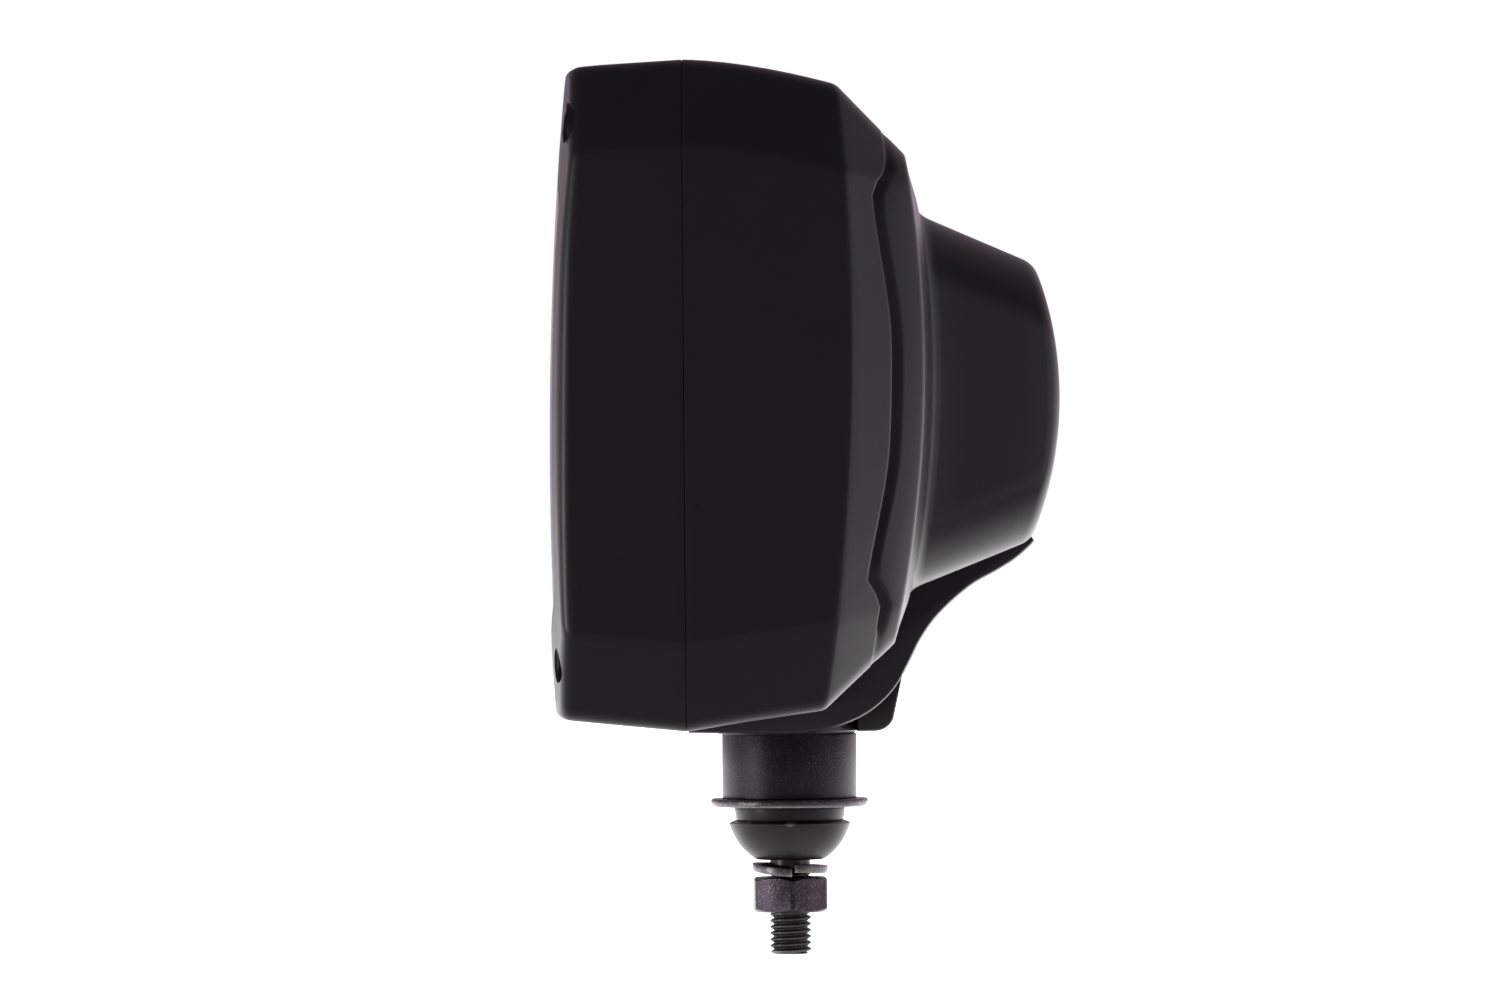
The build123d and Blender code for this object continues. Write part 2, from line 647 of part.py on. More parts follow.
for node, make in SUB_PARTS.items():
    save(node, make())
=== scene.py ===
from math import cos, pi, radians, sin, tan

import bmesh
import bpy
import numpy as np
from mathutils import Euler, Matrix


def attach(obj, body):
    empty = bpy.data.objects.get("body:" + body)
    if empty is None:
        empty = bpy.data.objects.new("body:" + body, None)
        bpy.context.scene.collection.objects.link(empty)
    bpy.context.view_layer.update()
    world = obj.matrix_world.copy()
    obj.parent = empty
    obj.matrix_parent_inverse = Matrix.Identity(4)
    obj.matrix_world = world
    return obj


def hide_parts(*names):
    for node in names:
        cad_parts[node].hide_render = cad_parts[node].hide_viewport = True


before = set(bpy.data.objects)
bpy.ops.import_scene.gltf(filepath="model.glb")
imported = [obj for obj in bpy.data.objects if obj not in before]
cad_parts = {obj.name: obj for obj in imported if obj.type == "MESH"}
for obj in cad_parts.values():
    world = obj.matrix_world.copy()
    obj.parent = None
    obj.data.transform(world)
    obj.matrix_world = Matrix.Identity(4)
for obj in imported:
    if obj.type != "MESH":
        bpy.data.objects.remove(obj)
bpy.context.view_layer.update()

# ---- front bezel ------------------------------------------------------------------------------------
# The front half of the housing: a moulded frame of black plastic with a crowned face. It holds the lens
# and is pulled against the rear shell by four long screws in counterbored corner holes.
MM = 0.001
AXIS_Z = 97.4                           # height of the lens's axis above the ball's centre
SEAM_Y = -24.0                          # plane where the bezel meets the rear shell
WALL = 2.6
HALF_WIDTH, HALF_HEIGHT = 110.0, 77.3   # the housing at the seam
FACET_X = 10.0                          # width of the slanting sides at its corners
EDGE_R = 5.5                            # its rounded long edges
BAND_X, EASE = 91.0, 3.0                # the front falls away outside this, and starts to within this
WINDOW_X, WINDOW_Z, WINDOW_CUT, WINDOW_R = 98.0, 61.0, 16.0, 6.0
SCREW_X, SCREW_Z, POST_R = 98.0, 62.0, 5.4
COUNTERBORE_R, COUNTERBORE_Y = 3.8, -47.0
SLANT = np.array([0.8898, 0.4563])
FACETS = np.array([(1, 0), SLANT, (0, 1), SLANT * (-1, 1), (-1, 0), -SLANT, (0, -1), SLANT * (1, -1)])
CUT = np.array([0.7071, 0.7071])
WINDOW_FACETS = np.array([(1, 0), CUT, (0, 1), CUT * (-1, 1), (-1, 0), -CUT, (0, -1), CUT * (1, -1)])
RUNS = (28, 4, 38, 4, 28, 4, 38, 4)     # mesh columns along each side of the outline
TURN = 8                                # and round each corner between two sides


def outline(normals, reach, radius):
    """Rounded eight-sided loop in X and Z, from how far each side lies from the middle."""
    corners = [np.linalg.solve([normals[k], normals[(k + 1) % 8]], [reach[k], reach[(k + 1) % 8]])
               for k in range(8)]
    points = []
    for k in range(8):
        angles = [np.arctan2(*normals[j % 8][::-1]) for j in (k - 1, k, k + 1)]
        turns = [(angles[i + 1] - angles[i]) % (2 * pi) for i in (0, 1)]
        along = corners[k] - corners[k - 1]
        along = along / np.linalg.norm(along)
        start = corners[k - 1] + along * radius * tan(turns[0] / 2)
        end = corners[k] - along * radius * tan(turns[1] / 2)
        points += [start + (end - start) * s / RUNS[k] for s in range(RUNS[k])]
        for s in range(TURN):
            angle = angles[1] + turns[1] * s / TURN
            points.append(end - radius * normals[k] + radius * np.array([cos(angle), sin(angle)]))
    return np.array(points)


def housing_ring(half_x, up, down, inset=0.0):
    slant_up = (half_x - FACET_X) * SLANT[0] + up * SLANT[1]
    slant_down = (half_x - FACET_X) * SLANT[0] + down * SLANT[1]
    reach = np.array([half_x, slant_up, up, slant_up, half_x, slant_down, down, slant_down]) - inset
    return outline(FACETS, reach, EDGE_R)


def lifted(ring, y):
    """Loop in X and Z made a row of 3-D points at depth y."""
    return np.column_stack([ring[:, 0], np.broadcast_to(y, len(ring)), ring[:, 1]])


def mix(a, b, t):
    return a + (b - a) * t


def bend(a, b, c, reach, steps):
    """Rows of an arc that rounds the corner b between rows a and c, column by column."""
    u, v = a - b, c - b
    lu, lv = np.linalg.norm(u, axis=1), np.linalg.norm(v, axis=1)
    size = np.minimum(reach, np.minimum(0.48 * lu, 0.48 * lv))
    u, v = u / lu[:, None], v / lv[:, None]
    weight = np.sqrt(np.clip((1 - (u * v).sum(1)) / 2, 0.05, 1))[:, None]
    p, q = b + u * size[:, None], b + v * size[:, None]
    rows = []
    for i in range(steps + 1):
        t = i / steps
        mass = (1 - t) ** 2 + 2 * t * (1 - t) * weight + t * t
        rows.append(((1 - t) ** 2 * p + 2 * t * (1 - t) * weight * b + t * t * q) / mass)
    return rows


def mesh_object(name, verts, faces, smooth_angle=None):
    """Object from points in millimetres, with its faces turned outwards."""
    mesh = bpy.data.meshes.new(name)
    mesh.from_pydata([tuple(v) for v in np.asarray(verts) * MM], [], faces)
    work = bmesh.new()
    work.from_mesh(mesh)
    bmesh.ops.remove_doubles(work, verts=work.verts, dist=1e-7)
    bmesh.ops.recalc_face_normals(work, faces=work.faces)
    work.to_mesh(mesh)
    work.free()
    thing = bpy.data.objects.new(name, mesh)
    bpy.context.scene.collection.objects.link(thing)
    shade(thing, smooth_angle)
    return thing


def shade(thing, angle):
    """Smooth shading, broken at edges sharper than angle degrees."""
    mesh = thing.data
    mesh.shade_smooth()
    if angle is not None:
        mesh.set_sharp_from_angle(angle=radians(angle))


def strips(m, n, loop=False):
    """Faces between m rows of n points each, closed round each row."""
    faces = []
    for i in range(m if loop else m - 1):
        a, b = i * n, (i + 1) % m * n
        faces += [(a + j, a + (j + 1) % n, b + (j + 1) % n, b + j) for j in range(n)]
    return faces


def skin(name, rows, loop=False):
    """Mesh over rows of equal length, looped from last row to first or domed over at both ends."""
    n, m = len(rows[0]), len(rows)
    verts = np.vstack([r + (0, 0, AXIS_Z) for r in rows])
    faces = strips(m, n, loop)
    if not loop:
        for row in (0, m - 1):
            verts = np.vstack([verts, verts[row * n:row * n + n].mean(0)])
            tip = len(verts) - 1
            faces += [(tip, row * n + j, row * n + (j + 1) % n) for j in range(n)]
    return mesh_object(name, verts, faces)


def skin_flat(name, rows):
    """Like skin, with each end closed by one flat face."""
    n, m = len(rows[0]), len(rows)
    faces = strips(m, n) + [tuple(range(n)), tuple(range((m - 1) * n, m * n))]
    return mesh_object(name, np.vstack([r + (0, 0, AXIS_Z) for r in rows]), faces)


def block(name, xs, ys, zs):
    """Six-sided cutting tool, from its two limits along each axis."""
    faces = [(0, 1, 3, 2), (4, 5, 7, 6), (0, 1, 5, 4), (2, 3, 7, 6), (0, 2, 6, 4), (1, 3, 7, 5)]
    return mesh_object(name, [(x, y, z) for x in xs for y in ys for z in zs], faces)


def evaluated(thing):
    """Replaces a piece's mesh by what its modifiers make of it, and drops them."""
    bpy.context.view_layer.update()
    done = bpy.data.meshes.new_from_object(thing.evaluated_get(bpy.context.evaluated_depsgraph_get()))
    thing.modifiers.clear()
    thing.data = done


def combine(thing, tool, operation):
    """Adds tool to thing or takes it away, and leaves a plain mesh."""
    step = thing.modifiers.new("step", "BOOLEAN")
    step.operation = operation
    step.solver = "EXACT"
    step.object = tool
    evaluated(thing)
    bpy.data.objects.remove(tool)
    return thing


def turned(name, profile, count=96, origin=(0, 0, 0), along_y=False, smooth_angle=35):
    """Closed solid of revolution from (radius, height) points, about Z or Y through origin."""
    angles = np.arange(count) * 2 * pi / count
    verts, rings = [], []
    for r, h in profile:
        if r < 1e-6:
            rings.append([len(verts)] * count)
            verts.append((0, 0, h))
            continue
        rings.append(list(range(len(verts), len(verts) + count)))
        verts += [(r * cos(a), r * sin(a), h) for a in angles]
    verts = np.array(verts)
    if along_y:
        verts = verts[:, [0, 2, 1]]
    verts = verts + origin
    faces = []
    for a, b in zip(rings, rings[1:] + rings[:1]):
        for j in range(count):
            k = (j + 1) % count
            face = list(dict.fromkeys((a[j], a[k], b[k], b[j])))
            if len(face) > 2:
                faces.append(face)
    return mesh_object(name, verts, faces, smooth_angle)


def joined(name, things, smooth_angle=35):
    """Several separate solids made one object."""
    verts, faces = [], []
    for thing in things:
        base = len(verts)
        verts += [v.co / MM for v in thing.data.vertices]
        faces += [[base + i for i in p.vertices] for p in thing.data.polygons]
        bpy.data.objects.remove(thing)
    return mesh_object(name, np.array([tuple(v) for v in verts]), faces, smooth_angle)


def outside_band(x):
    """How far x lies past the front's level band, eased in from zero."""
    past = np.abs(x) - BAND_X
    return 0.5 * (past + np.sqrt(past * past + EASE * EASE))


def front_y(x, z):
    """Depth of the crowned front face, which falls away towards both sides."""
    return -55.9 + 0.0164 * z + 5.2e-4 * z * z + 0.137 * outside_band(x)


def bezel_side(y, inset=0.0):
    """Outline of the bezel at depth y: it draws in towards the front, most of all below."""
    t = (SEAM_Y - y) / 38.0
    return housing_ring(HALF_WIDTH - 3.0 * t, HALF_HEIGHT - 2.1 * t, HALF_HEIGHT - 3.7 * t, inset)


def on_front(ring, depth=0.0):
    return lifted(ring, front_y(ring[:, 0], ring[:, 1]) + depth)


def window(grow):
    """Outline of the bezel's opening, made larger all round by grow."""
    slant = (WINDOW_X + WINDOW_Z - WINDOW_CUT) * CUT[0]
    reach = np.array([WINDOW_X, slant, WINDOW_Z, slant] * 2) + grow
    return outline(WINDOW_FACETS, reach, WINDOW_R + max(grow, 0))


def smooth(value, low, high):
    t = np.clip((value - low) / (high - low), 0, 1)
    return t * t * (3 - 2 * t)


def on_face(ring):
    """Points on the frame's outside, which leans back a little more at its sides and along its top."""
    return on_front(ring, 0.05 * outside_band(ring[:, 0]) + 0.8 * smooth(ring[:, 1], 30.0, 62.0))


CORNERS = [(sx * SCREW_X, sz * SCREW_Z) for sx in (1, -1) for sz in (1, -1)]


def make_bezel():
    sides = [lifted(bezel_side(y), y) for y in (-24.35, -27, -31, -35, -38, -41, -42.5)]
    rows = [lifted(bezel_side(SEAM_Y, 0.28), SEAM_Y), lifted(bezel_side(SEAM_Y, 0.08), SEAM_Y - 0.1)] + sides
    rim = on_face(bezel_side(-54.0))
    pane = on_face(window(0))
    rows += bend(sides[-1], rim, pane, 3.2, 10)
    rows += [on_face(mix(rim[:, [0, 2]], pane[:, [0, 2]], t)) for t in (0.3, 0.42, 0.55, 0.68, 0.8)]
    back = on_front(window(0), 3.1)
    rows += bend(rows[-1], pane, back, 0.9, 3)
    rows += [back, on_front(window(3.6), 3.15), on_front(window(3.6), 8.0)]
    rows += [lifted(bezel_side(-44, WALL), -44.0), lifted(bezel_side(-34, WALL), -34.0)]
    rows.append(lifted(bezel_side(SEAM_Y, WALL), SEAM_Y))
    bezel = skin("front_bezel_moulding", rows, loop=True)
    bosses, holes = [], []
    post = [(0, -50.5), (POST_R, -50.5), (POST_R, SEAM_Y), (0, SEAM_Y)]
    for x, z in CORNERS:
        place, face_y = (x, 0, AXIS_Z + z), front_y(x, z)
        bosses.append(turned("boss", post, 40, place, True))
        profile = [(0, -70), (4.6, -70), (4.2, face_y + 0.15), (COUNTERBORE_R, face_y + 0.6),
                   (COUNTERBORE_R, COUNTERBORE_Y), (2.2, COUNTERBORE_Y), (2.2, -20), (0, -20)]
        holes.append(turned("hole", profile, 48, place, True))
    combine(bezel, joined("bosses", bosses), "UNION")
    combine(bezel, joined("holes", holes), "DIFFERENCE")
    shade(bezel, 38)
    return bezel


def node_group(name, inputs, outputs):
    """Empty shader node group with float inputs (name: default) and named outputs."""
    group = bpy.data.node_groups.new(name, "ShaderNodeTree")
    group.interface.new_socket("Vector", in_out="INPUT", socket_type="NodeSocketVector")
    for label, value in inputs.items():
        socket = group.interface.new_socket(label, in_out="INPUT", socket_type="NodeSocketFloat")
        socket.default_value = value
    for label in outputs:
        group.interface.new_socket(label, in_out="OUTPUT", socket_type="NodeSocketFloat")
    return group, group.nodes.new("NodeGroupInput"), group.nodes.new("NodeGroupOutput")


def maths(tree, operation, a, b=None, clamp=False):
    node = tree.nodes.new("ShaderNodeMath")
    node.operation = operation
    node.use_clamp = clamp
    for socket, value in zip(node.inputs, (a, b)):
        if value is None:
            continue
        if isinstance(value, (int, float)):
            socket.default_value = value
        else:
            tree.links.new(value, socket)
    return node.outputs[0]


def noise(tree, vector, scale, detail=2.0, rough=0.5):
    node = tree.nodes.new("ShaderNodeTexNoise")
    node.inputs["Detail"].default_value = detail
    node.inputs["Roughness"].default_value = rough
    tree.links.new(vector, node.inputs["Vector"])
    if isinstance(scale, (int, float)):
        node.inputs["Scale"].default_value = scale
    else:
        tree.links.new(scale, node.inputs["Scale"])
    return node.outputs["Fac"]


def build_grain():
    """Fine moulded or cast skin: a height for the bump, and slow patches for tone and gloss."""
    group, given, put = node_group("skin_grain", {"Scale": 3500.0, "Patch Scale": 45.0},
                                   ("Height", "Patches"))
    fine = noise(group, given.outputs["Vector"], given.outputs["Scale"], 3.0, 0.6)
    group.links.new(fine, put.inputs["Height"])
    slow = noise(group, given.outputs["Vector"], given.outputs["Patch Scale"], 4.0, 0.55)
    stretched = maths(group, "MULTIPLY", maths(group, "SUBTRACT", slow, 0.3), 2.5, True)
    group.links.new(stretched, put.inputs["Patches"])
    return group


def build_specks():
    """Sparse specks of dust or bright flakes: one small spot in a few of the cells of a pattern."""
    group, given, put = node_group("specks", {"Scale": 260.0, "Share": 0.06, "Size": 0.09},
                                   ("Mask", "Random"))
    cells = group.nodes.new("ShaderNodeTexVoronoi")
    group.links.new(given.outputs["Vector"], cells.inputs["Vector"])
    group.links.new(given.outputs["Scale"], cells.inputs["Scale"])
    pick = group.nodes.new("ShaderNodeSeparateColor")
    group.links.new(cells.outputs["Color"], pick.inputs[0])
    chosen = maths(group, "LESS_THAN", pick.outputs[0], given.outputs["Share"])
    width = maths(group, "MULTIPLY", given.outputs["Size"], maths(group, "ADD", pick.outputs[1], 0.35))
    near = maths(group, "LESS_THAN", cells.outputs["Distance"], width)
    group.links.new(maths(group, "MULTIPLY", chosen, near), put.inputs["Mask"])
    group.links.new(pick.outputs[2], put.inputs["Random"])
    return group


def build_wear():
    """Rubbed edges: a mask that is 1 on sharp outer edges, broken up by noise."""
    group, given, put = node_group("edge_wear", {"Low": 0.52, "High": 0.6, "Scale": 700.0}, ("Mask",))
    shape = group.nodes.new("ShaderNodeNewGeometry")
    broken = noise(group, given.outputs["Vector"], given.outputs["Scale"], 3.0, 0.65)
    lifted_edge = maths(group, "ADD", shape.outputs["Pointiness"], maths(group, "MULTIPLY", broken, 0.06))
    spread = maths(group, "SUBTRACT", given.outputs["High"], given.outputs["Low"])
    above = maths(group, "SUBTRACT", lifted_edge, given.outputs["Low"])
    group.links.new(maths(group, "DIVIDE", above, spread, True), put.inputs["Mask"])
    return group


GRAIN, SPECKS, WEAR = build_grain(), build_specks(), build_wear()


def use(tree, group, vector, **values):
    node = tree.nodes.new("ShaderNodeGroup")
    node.node_tree = group
    tree.links.new(vector, node.inputs["Vector"])
    for label, value in values.items():
        node.inputs[label.replace("_", " ")].default_value = value
    return node


def blend_colour(tree, amount, a, b):
    node = tree.nodes.new("ShaderNodeMix")
    node.data_type = "RGBA"
    tree.links.new(amount, node.inputs["Factor"])
    for socket, value in ((node.inputs[6], a), (node.inputs[7], b)):
        if isinstance(value, tuple):
            socket.default_value = (*value, 1.0)
        else:
            tree.links.new(value, socket)
    return node.outputs[2]


def new_material(name):
    material = bpy.data.materials.new(name)
    material.use_nodes = True
    return material, material.node_tree, material.node_tree.nodes["Principled BSDF"]


def fine_bump(tree, surface, height, strength):
    bump = tree.nodes.new("ShaderNodeBump")
    bump.inputs["Strength"].default_value = strength
    bump.inputs["Distance"].default_value = 0.0003
    tree.links.new(height, bump.inputs["Height"])
    tree.links.new(bump.outputs[0], surface.inputs["Normal"])


def finish(name, dark, light, rough, metal=0.0, grain=(3500.0, 0.04), patches=45.0, gloss_change=0.1,
           dust=None, wear=None, flakes=None):
    """Material with patchy tone and gloss and a fine skin, and dust, rubbed edges or flakes where given."""
    material, tree, surface = new_material(name)
    surface.inputs["Metallic"].default_value = metal
    surface.inputs["IOR"].default_value = 1.5
    vector = tree.nodes.new("ShaderNodeTexCoord").outputs["Object"]
    skin_node = use(tree, GRAIN, vector, Scale=grain[0], Patch_Scale=patches)
    colour = blend_colour(tree, skin_node.outputs["Patches"], dark, light)
    gloss = maths(tree, "MULTIPLY_ADD", skin_node.outputs["Patches"], gloss_change)
    gloss.node.inputs[2].default_value = rough - gloss_change / 2
    height = skin_node.outputs["Height"]
    if flakes:
        scale, share, size, tint, lift = flakes
        spots = use(tree, SPECKS, vector, Scale=scale, Share=share, Size=size)
        colour = blend_colour(tree, spots.outputs["Mask"], colour, tint)
        high = maths(tree, "MULTIPLY", spots.outputs["Mask"], spots.outputs["Random"])
        height = maths(tree, "ADD", height, maths(tree, "MULTIPLY", high, lift))
    if wear:
        tint, low, high = wear
        rubbed = use(tree, WEAR, vector, Low=low, High=high)
        colour = blend_colour(tree, rubbed.outputs["Mask"], colour, tint)
    if dust:
        share, size, tint = dust
        spots = use(tree, SPECKS, vector, Scale=240.0, Share=share, Size=size)
        colour = blend_colour(tree, spots.outputs["Mask"], colour, tint)
        gloss = maths(tree, "MAXIMUM", gloss, maths(tree, "MULTIPLY", spots.outputs["Mask"], 0.9))
    fine_bump(tree, surface, height, grain[1])
    tree.links.new(colour, surface.inputs["Base Color"])
    tree.links.new(gloss, surface.inputs["Roughness"])
    return material


def dress(thing, material, body=None, node=None):
    """Gives a piece its material, hangs it under the empty of the body it moves with, and hides the CAD part
    that it replaces.
    """
    thing.data.materials.clear()
    thing.data.materials.append(material)
    for polygon in thing.data.polygons:
        polygon.material_index = 0
    if body:
        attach(thing, body)
        if node:
            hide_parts(node)
    return thing


HOUSING = finish("moulded_black", (0.0070, 0.0054, 0.0072), (0.0098, 0.0078, 0.0102), 0.37,
                 grain=(3800.0, 0.05), patches=28.0, gloss_change=0.07,
                 dust=(0.028, 0.055, (0.16, 0.15, 0.16)))

dress(make_bezel(), HOUSING, "head", "front_bezel")

# ---- rear shell -------------------------------------------------------------------------------------
# The rear half of the housing, one moulding of the same plastic: a shallow pan with a grooved bevel, a
# hump over the back of the bulb, and a narrow spine below it that ends in the boss for the stud.
SIDE_YS = np.linspace(SEAM_Y, 20.0, 23)
SPINE_HALF = 22.0
ROOT_RISE = 1.9         # how far the plateau sweeps up to the hump's foot
BOSS_Z = 17.45          # lower end of the boss
STUD_BORE_R = 5.3
INLET_Y = 20.8          # middle of the supply inlet's neck


def shell_ring(y, inset):
    """Outline of the rear shell at depth y: it draws in towards the back, least of all sideways."""
    t = y - SEAM_Y
    down = HALF_HEIGHT - 0.158 * t if t < 12 else HALF_HEIGHT - 1.896 - 0.14 * (t - 12)
    return housing_ring(HALF_WIDTH - 0.0012 * t * t, HALF_HEIGHT - 0.0153 * t ** 1.667, down, inset)


def shell_side(inset):
    """Function that gives the side wall's point in each column at that column's depth."""
    rings = np.array([shell_ring(y, inset) for y in SIDE_YS])

    def at(ys):
        ys = np.broadcast_to(ys, rings.shape[1])
        place = np.clip((ys - SIDE_YS[0]) / (SIDE_YS[1] - SIDE_YS[0]), 0, len(SIDE_YS) - 1.001)
        low = place.astype(int)
        column = np.arange(rings.shape[1])
        return lifted(mix(rings[low, column], rings[low + 1, column], (place - low)[:, None]), ys)

    return at


def side_edge_y(z):
    """Depth at which the side walls turn into the bevel."""
    return 14.3 + 0.024 * z - 9.1e-4 * z * z


def plateau_y(z):
    """Depth of the crowned rear face round the hump."""
    return 31.5 + 0.024 * z - 1.8e-3 * z * z


def hump_end_y(z):
    return 64.1 - 5.75e-3 * z ** 2


def hump_ring(y, inset):
    """Rounded box round the hump, with the same columns as the housing's outline."""
    past = y - 18
    x, up, down = 65.2 - 0.48 * past - inset, 48.1 - 0.418 * past - inset, 49.5 - 0.392 * past - inset
    r = 15.0 - inset * 0.5
    middles = [(x - r, up - r), (r - x, up - r), (r - x, r - down), (x - r, r - down)]
    points = []
    for k in range(4):
        a = np.array([cos(k * pi / 2), sin(k * pi / 2)]) * r
        start, end = np.array(middles[k - 1]) + a, np.array(middles[k]) + a
        points += [start + (end - start) * s / RUNS[2 * k] for s in range(RUNS[2 * k])]
        steps = 2 * TURN + RUNS[2 * k + 1]
        for s in range(steps):
            angle = (k + s / steps) * pi / 2
            points.append(np.array(middles[k]) + r * np.array([cos(angle), sin(angle)]))
    return np.array(points)


def hump_wall(inset):
    near, far = hump_ring(28.0, inset), hump_ring(60.0, inset)
    return lambda y: lifted(mix(near, far, ((y - 28.0) / 32.0)[:, None]), y)


# Section of the groove in the bevel, as (distance past its lip, depth) points.
GROOVE = [(-0.7, 0.0), (-0.22, 0.0), (0.0, 0.10), (0.18, 0.45), (0.3, 1.1), (0.55, 1.42), (0.95, 1.5),
          (1.5, 1.42), (2.1, 1.02), (2.8, 0.5), (3.6, 0.14), (4.4, 0.0)]


def shell_rows(inset, detailed):
    """Rows of the rear shell from the seam to the hump's end: the outside, or the plainer inside."""
    side, wall = shell_side(inset), hump_wall(inset)
    edge = side(15.0)
    for _ in range(3):
        edge = side(side_edge_y(edge[:, 2]) - 0.4 * inset)
    slant = 104.2
    brim = outline(FACETS, np.array([92.0, slant, 55.4, slant, 92.0, slant, 57.5, slant]) - 0.42 * inset, 6.0)
    brim = lifted(brim, plateau_y(brim[:, 1]) - inset)
    root = wall(np.full(len(brim), 33.0))
    for _ in range(4):
        root = wall(plateau_y(root[:, 2]) + ROOT_RISE - inset)
    crown = wall(np.full(len(brim), 58.0))
    for _ in range(6):
        crown = wall(hump_end_y(crown[:, 2]) - inset)

    def on_plateau(t):
        row = mix(brim, root, t)
        row[:, 1] = plateau_y(row[:, 2]) + ROOT_RISE * t * t * (3 - 2 * t) - inset
        return row

    def on_end(t):
        row = crown * (1 - t, 1, 1 - t) + (0, 0, -1.0 * t)
        row[:, 1] = hump_end_y(row[:, 2]) - inset
        return row

    if not detailed:
        rows = [side(SEAM_Y)] + [side(mix(SEAM_Y, edge[:, 1], t)) for t in (0.3, 0.6, 0.85)]
        rows += bend(rows[-1], edge, brim, 2.0, 2) + bend(edge, brim, root, 2.0, 2) + [on_plateau(0.5)]
        rows += bend(brim, root, crown, 2.5, 2) + bend(root, crown, on_end(0.5), 3.0, 3)
        return rows + [on_end(t) for t in (0.3, 0.6, 0.85)]
    rows = [side(y) - step * normal_of(side(y)) for y, step in ((SEAM_Y, 0.28), (-23.9, 0.08), (-23.65, 0.0))]
    rows += [side(mix(SEAM_Y, edge[:, 1], t)) for t in (0.07, 0.16, 0.28, 0.42, 0.56, 0.7, 0.82, 0.92)]
    rows += bend(rows[-1], edge, brim, 1.3, 6)
    # The bevel carries a groove with a crisp outer lip, set further in round each corner of the housing.
    down = brim - edge
    length = np.linalg.norm(down, axis=1)
    down /= length[:, None]
    flat = normal_of(edge)
    out = flat - (flat * down).sum(1)[:, None] * down
    out /= np.linalg.norm(out, axis=1)[:, None]
    x, z = np.abs(edge[:, 0]), np.abs(edge[:, 2])
    by_height = np.where(edge[:, 2] > 0, smooth(z, 47.0, 54.5), smooth(z, 44.0, 50.5))
    near_corner = np.where(x > 100, by_height, np.where(z > 64, smooth(x, 74.0, 82.0), 1.0))
    lip = length * (0.55 - 0.15 * smooth(z, 12.0, 46.0) * (x > 100) * (1 - near_corner) + 0.10 * near_corner)
    depth = 1 - 0.88 * smooth(z, 56.0, 63.0)
    for t in (0.25, 0.5, 0.75, 0.92):
        rows.append(edge + down * (lip * t)[:, None])
    for along, deep in GROOVE:
        rows.append(edge + down * (lip + along)[:, None] - out * (deep * depth)[:, None])
    rows += bend(edge + down * (length - 2.4)[:, None], brim, on_plateau(0.3), 1.3, 4)
    rows += [on_plateau(t) for t in (0.3, 0.5, 0.7, 0.82)]
    rows += bend(on_plateau(0.82), root, crown, 3.6, 7)
    rows += [mix(root, crown, t) for t in (0.3, 0.45, 0.6, 0.75)]
    rows += bend(root, crown, on_end(0.3), 3.4, 8)
    return rows + [on_end(t) for t in (0.2, 0.35, 0.5, 0.65, 0.8, 0.92)]


def normal_of(row):
    """Outward direction in X and Z at each point of a loop."""
    along = np.roll(row, -1, 0) - np.roll(row, 1, 0)
    across = np.column_stack([along[:, 2], np.zeros(len(row)), -along[:, 0]])
    return across / np.linalg.norm(across, axis=1)[:, None]


# Underside of the spine as (depth, height) points, from the bulge forwards to the seam.
SPINE = [(58.4, 63.2), (57.2, 61.8), (53.8, 58.9), (49.3, 56.1), (44.3, 53.4), (40.2, 50.3), (37.1, 47.5),
         (34.4, 44.6), (32.3, 41.7), (30.6, 38.9), (29.2, 36.0), (27.7, 33.1), (26.2, 30.2), (24.0, 27.2),
         (20.6, 24.0), (16.5, 21.4), (11.0, 19.3), (5.0, 18.05), (0.2, 17.7), (-11.7, 17.85), (-23.95, 18.1)]


def smooth_path(points, per_span):
    """Catmull-Rom curve through the points."""
    p = np.array(points, float)
    p = np.vstack([2 * p[0] - p[1], p, 2 * p[-1] - p[-2]])
    out = []
    for a, b, c, d in zip(p, p[1:], p[2:], p[3:]):
        for s in range(per_span):
            t = s / per_span
            out.append(0.5 * (2 * b + (c - a) * t + (2 * a - 5 * b + 4 * c - d) * t * t
                              + (3 * b - a - 3 * c + d) * t ** 3))
    return np.array(out + [p[-2]])


def slab(name, half, back, shrink, loop_at):
    """Plate across X with rounded edges: its loop in Y and Z shrinks in two steps before each face."""
    sections = [(-half, shrink[0]), (-half + back[1], shrink[1]), (-half + back[0], 0.0),
                (half - back[0], 0.0), (half - back[1], shrink[1]), (half, shrink[0])]
    rows = []
    for x, less in sections:
        loop = loop_at(less)
        rows.append(np.column_stack([np.full(len(loop), x), loop[:, 0], loop[:, 1] - AXIS_Z]))
    return skin_flat(name, rows)


def spine_solid(name, half, inset, lift):
    """Spine as a plate of the given half width, its lower edges rounded, its top hidden in the housing."""
    low = smooth_path(SPINE, 3)
    along = np.gradient(low, axis=0)
    out = np.column_stack([-along[:, 1], along[:, 0]])
    out /= np.linalg.norm(out, axis=1)[:, None]
    out *= np.where((out[:, 1] > 0.3)[:, None], -1, 1)
    low = low - out * inset
    top = np.array([(low[-1, 0], 40.0), (30.0, 66.0 + lift), (46.0, 80.0 + lift)])
    return slab(name, half, (0.9, 0.25), (0.9, 0.32), lambda shrink: np.vstack([low - out * shrink, top]))


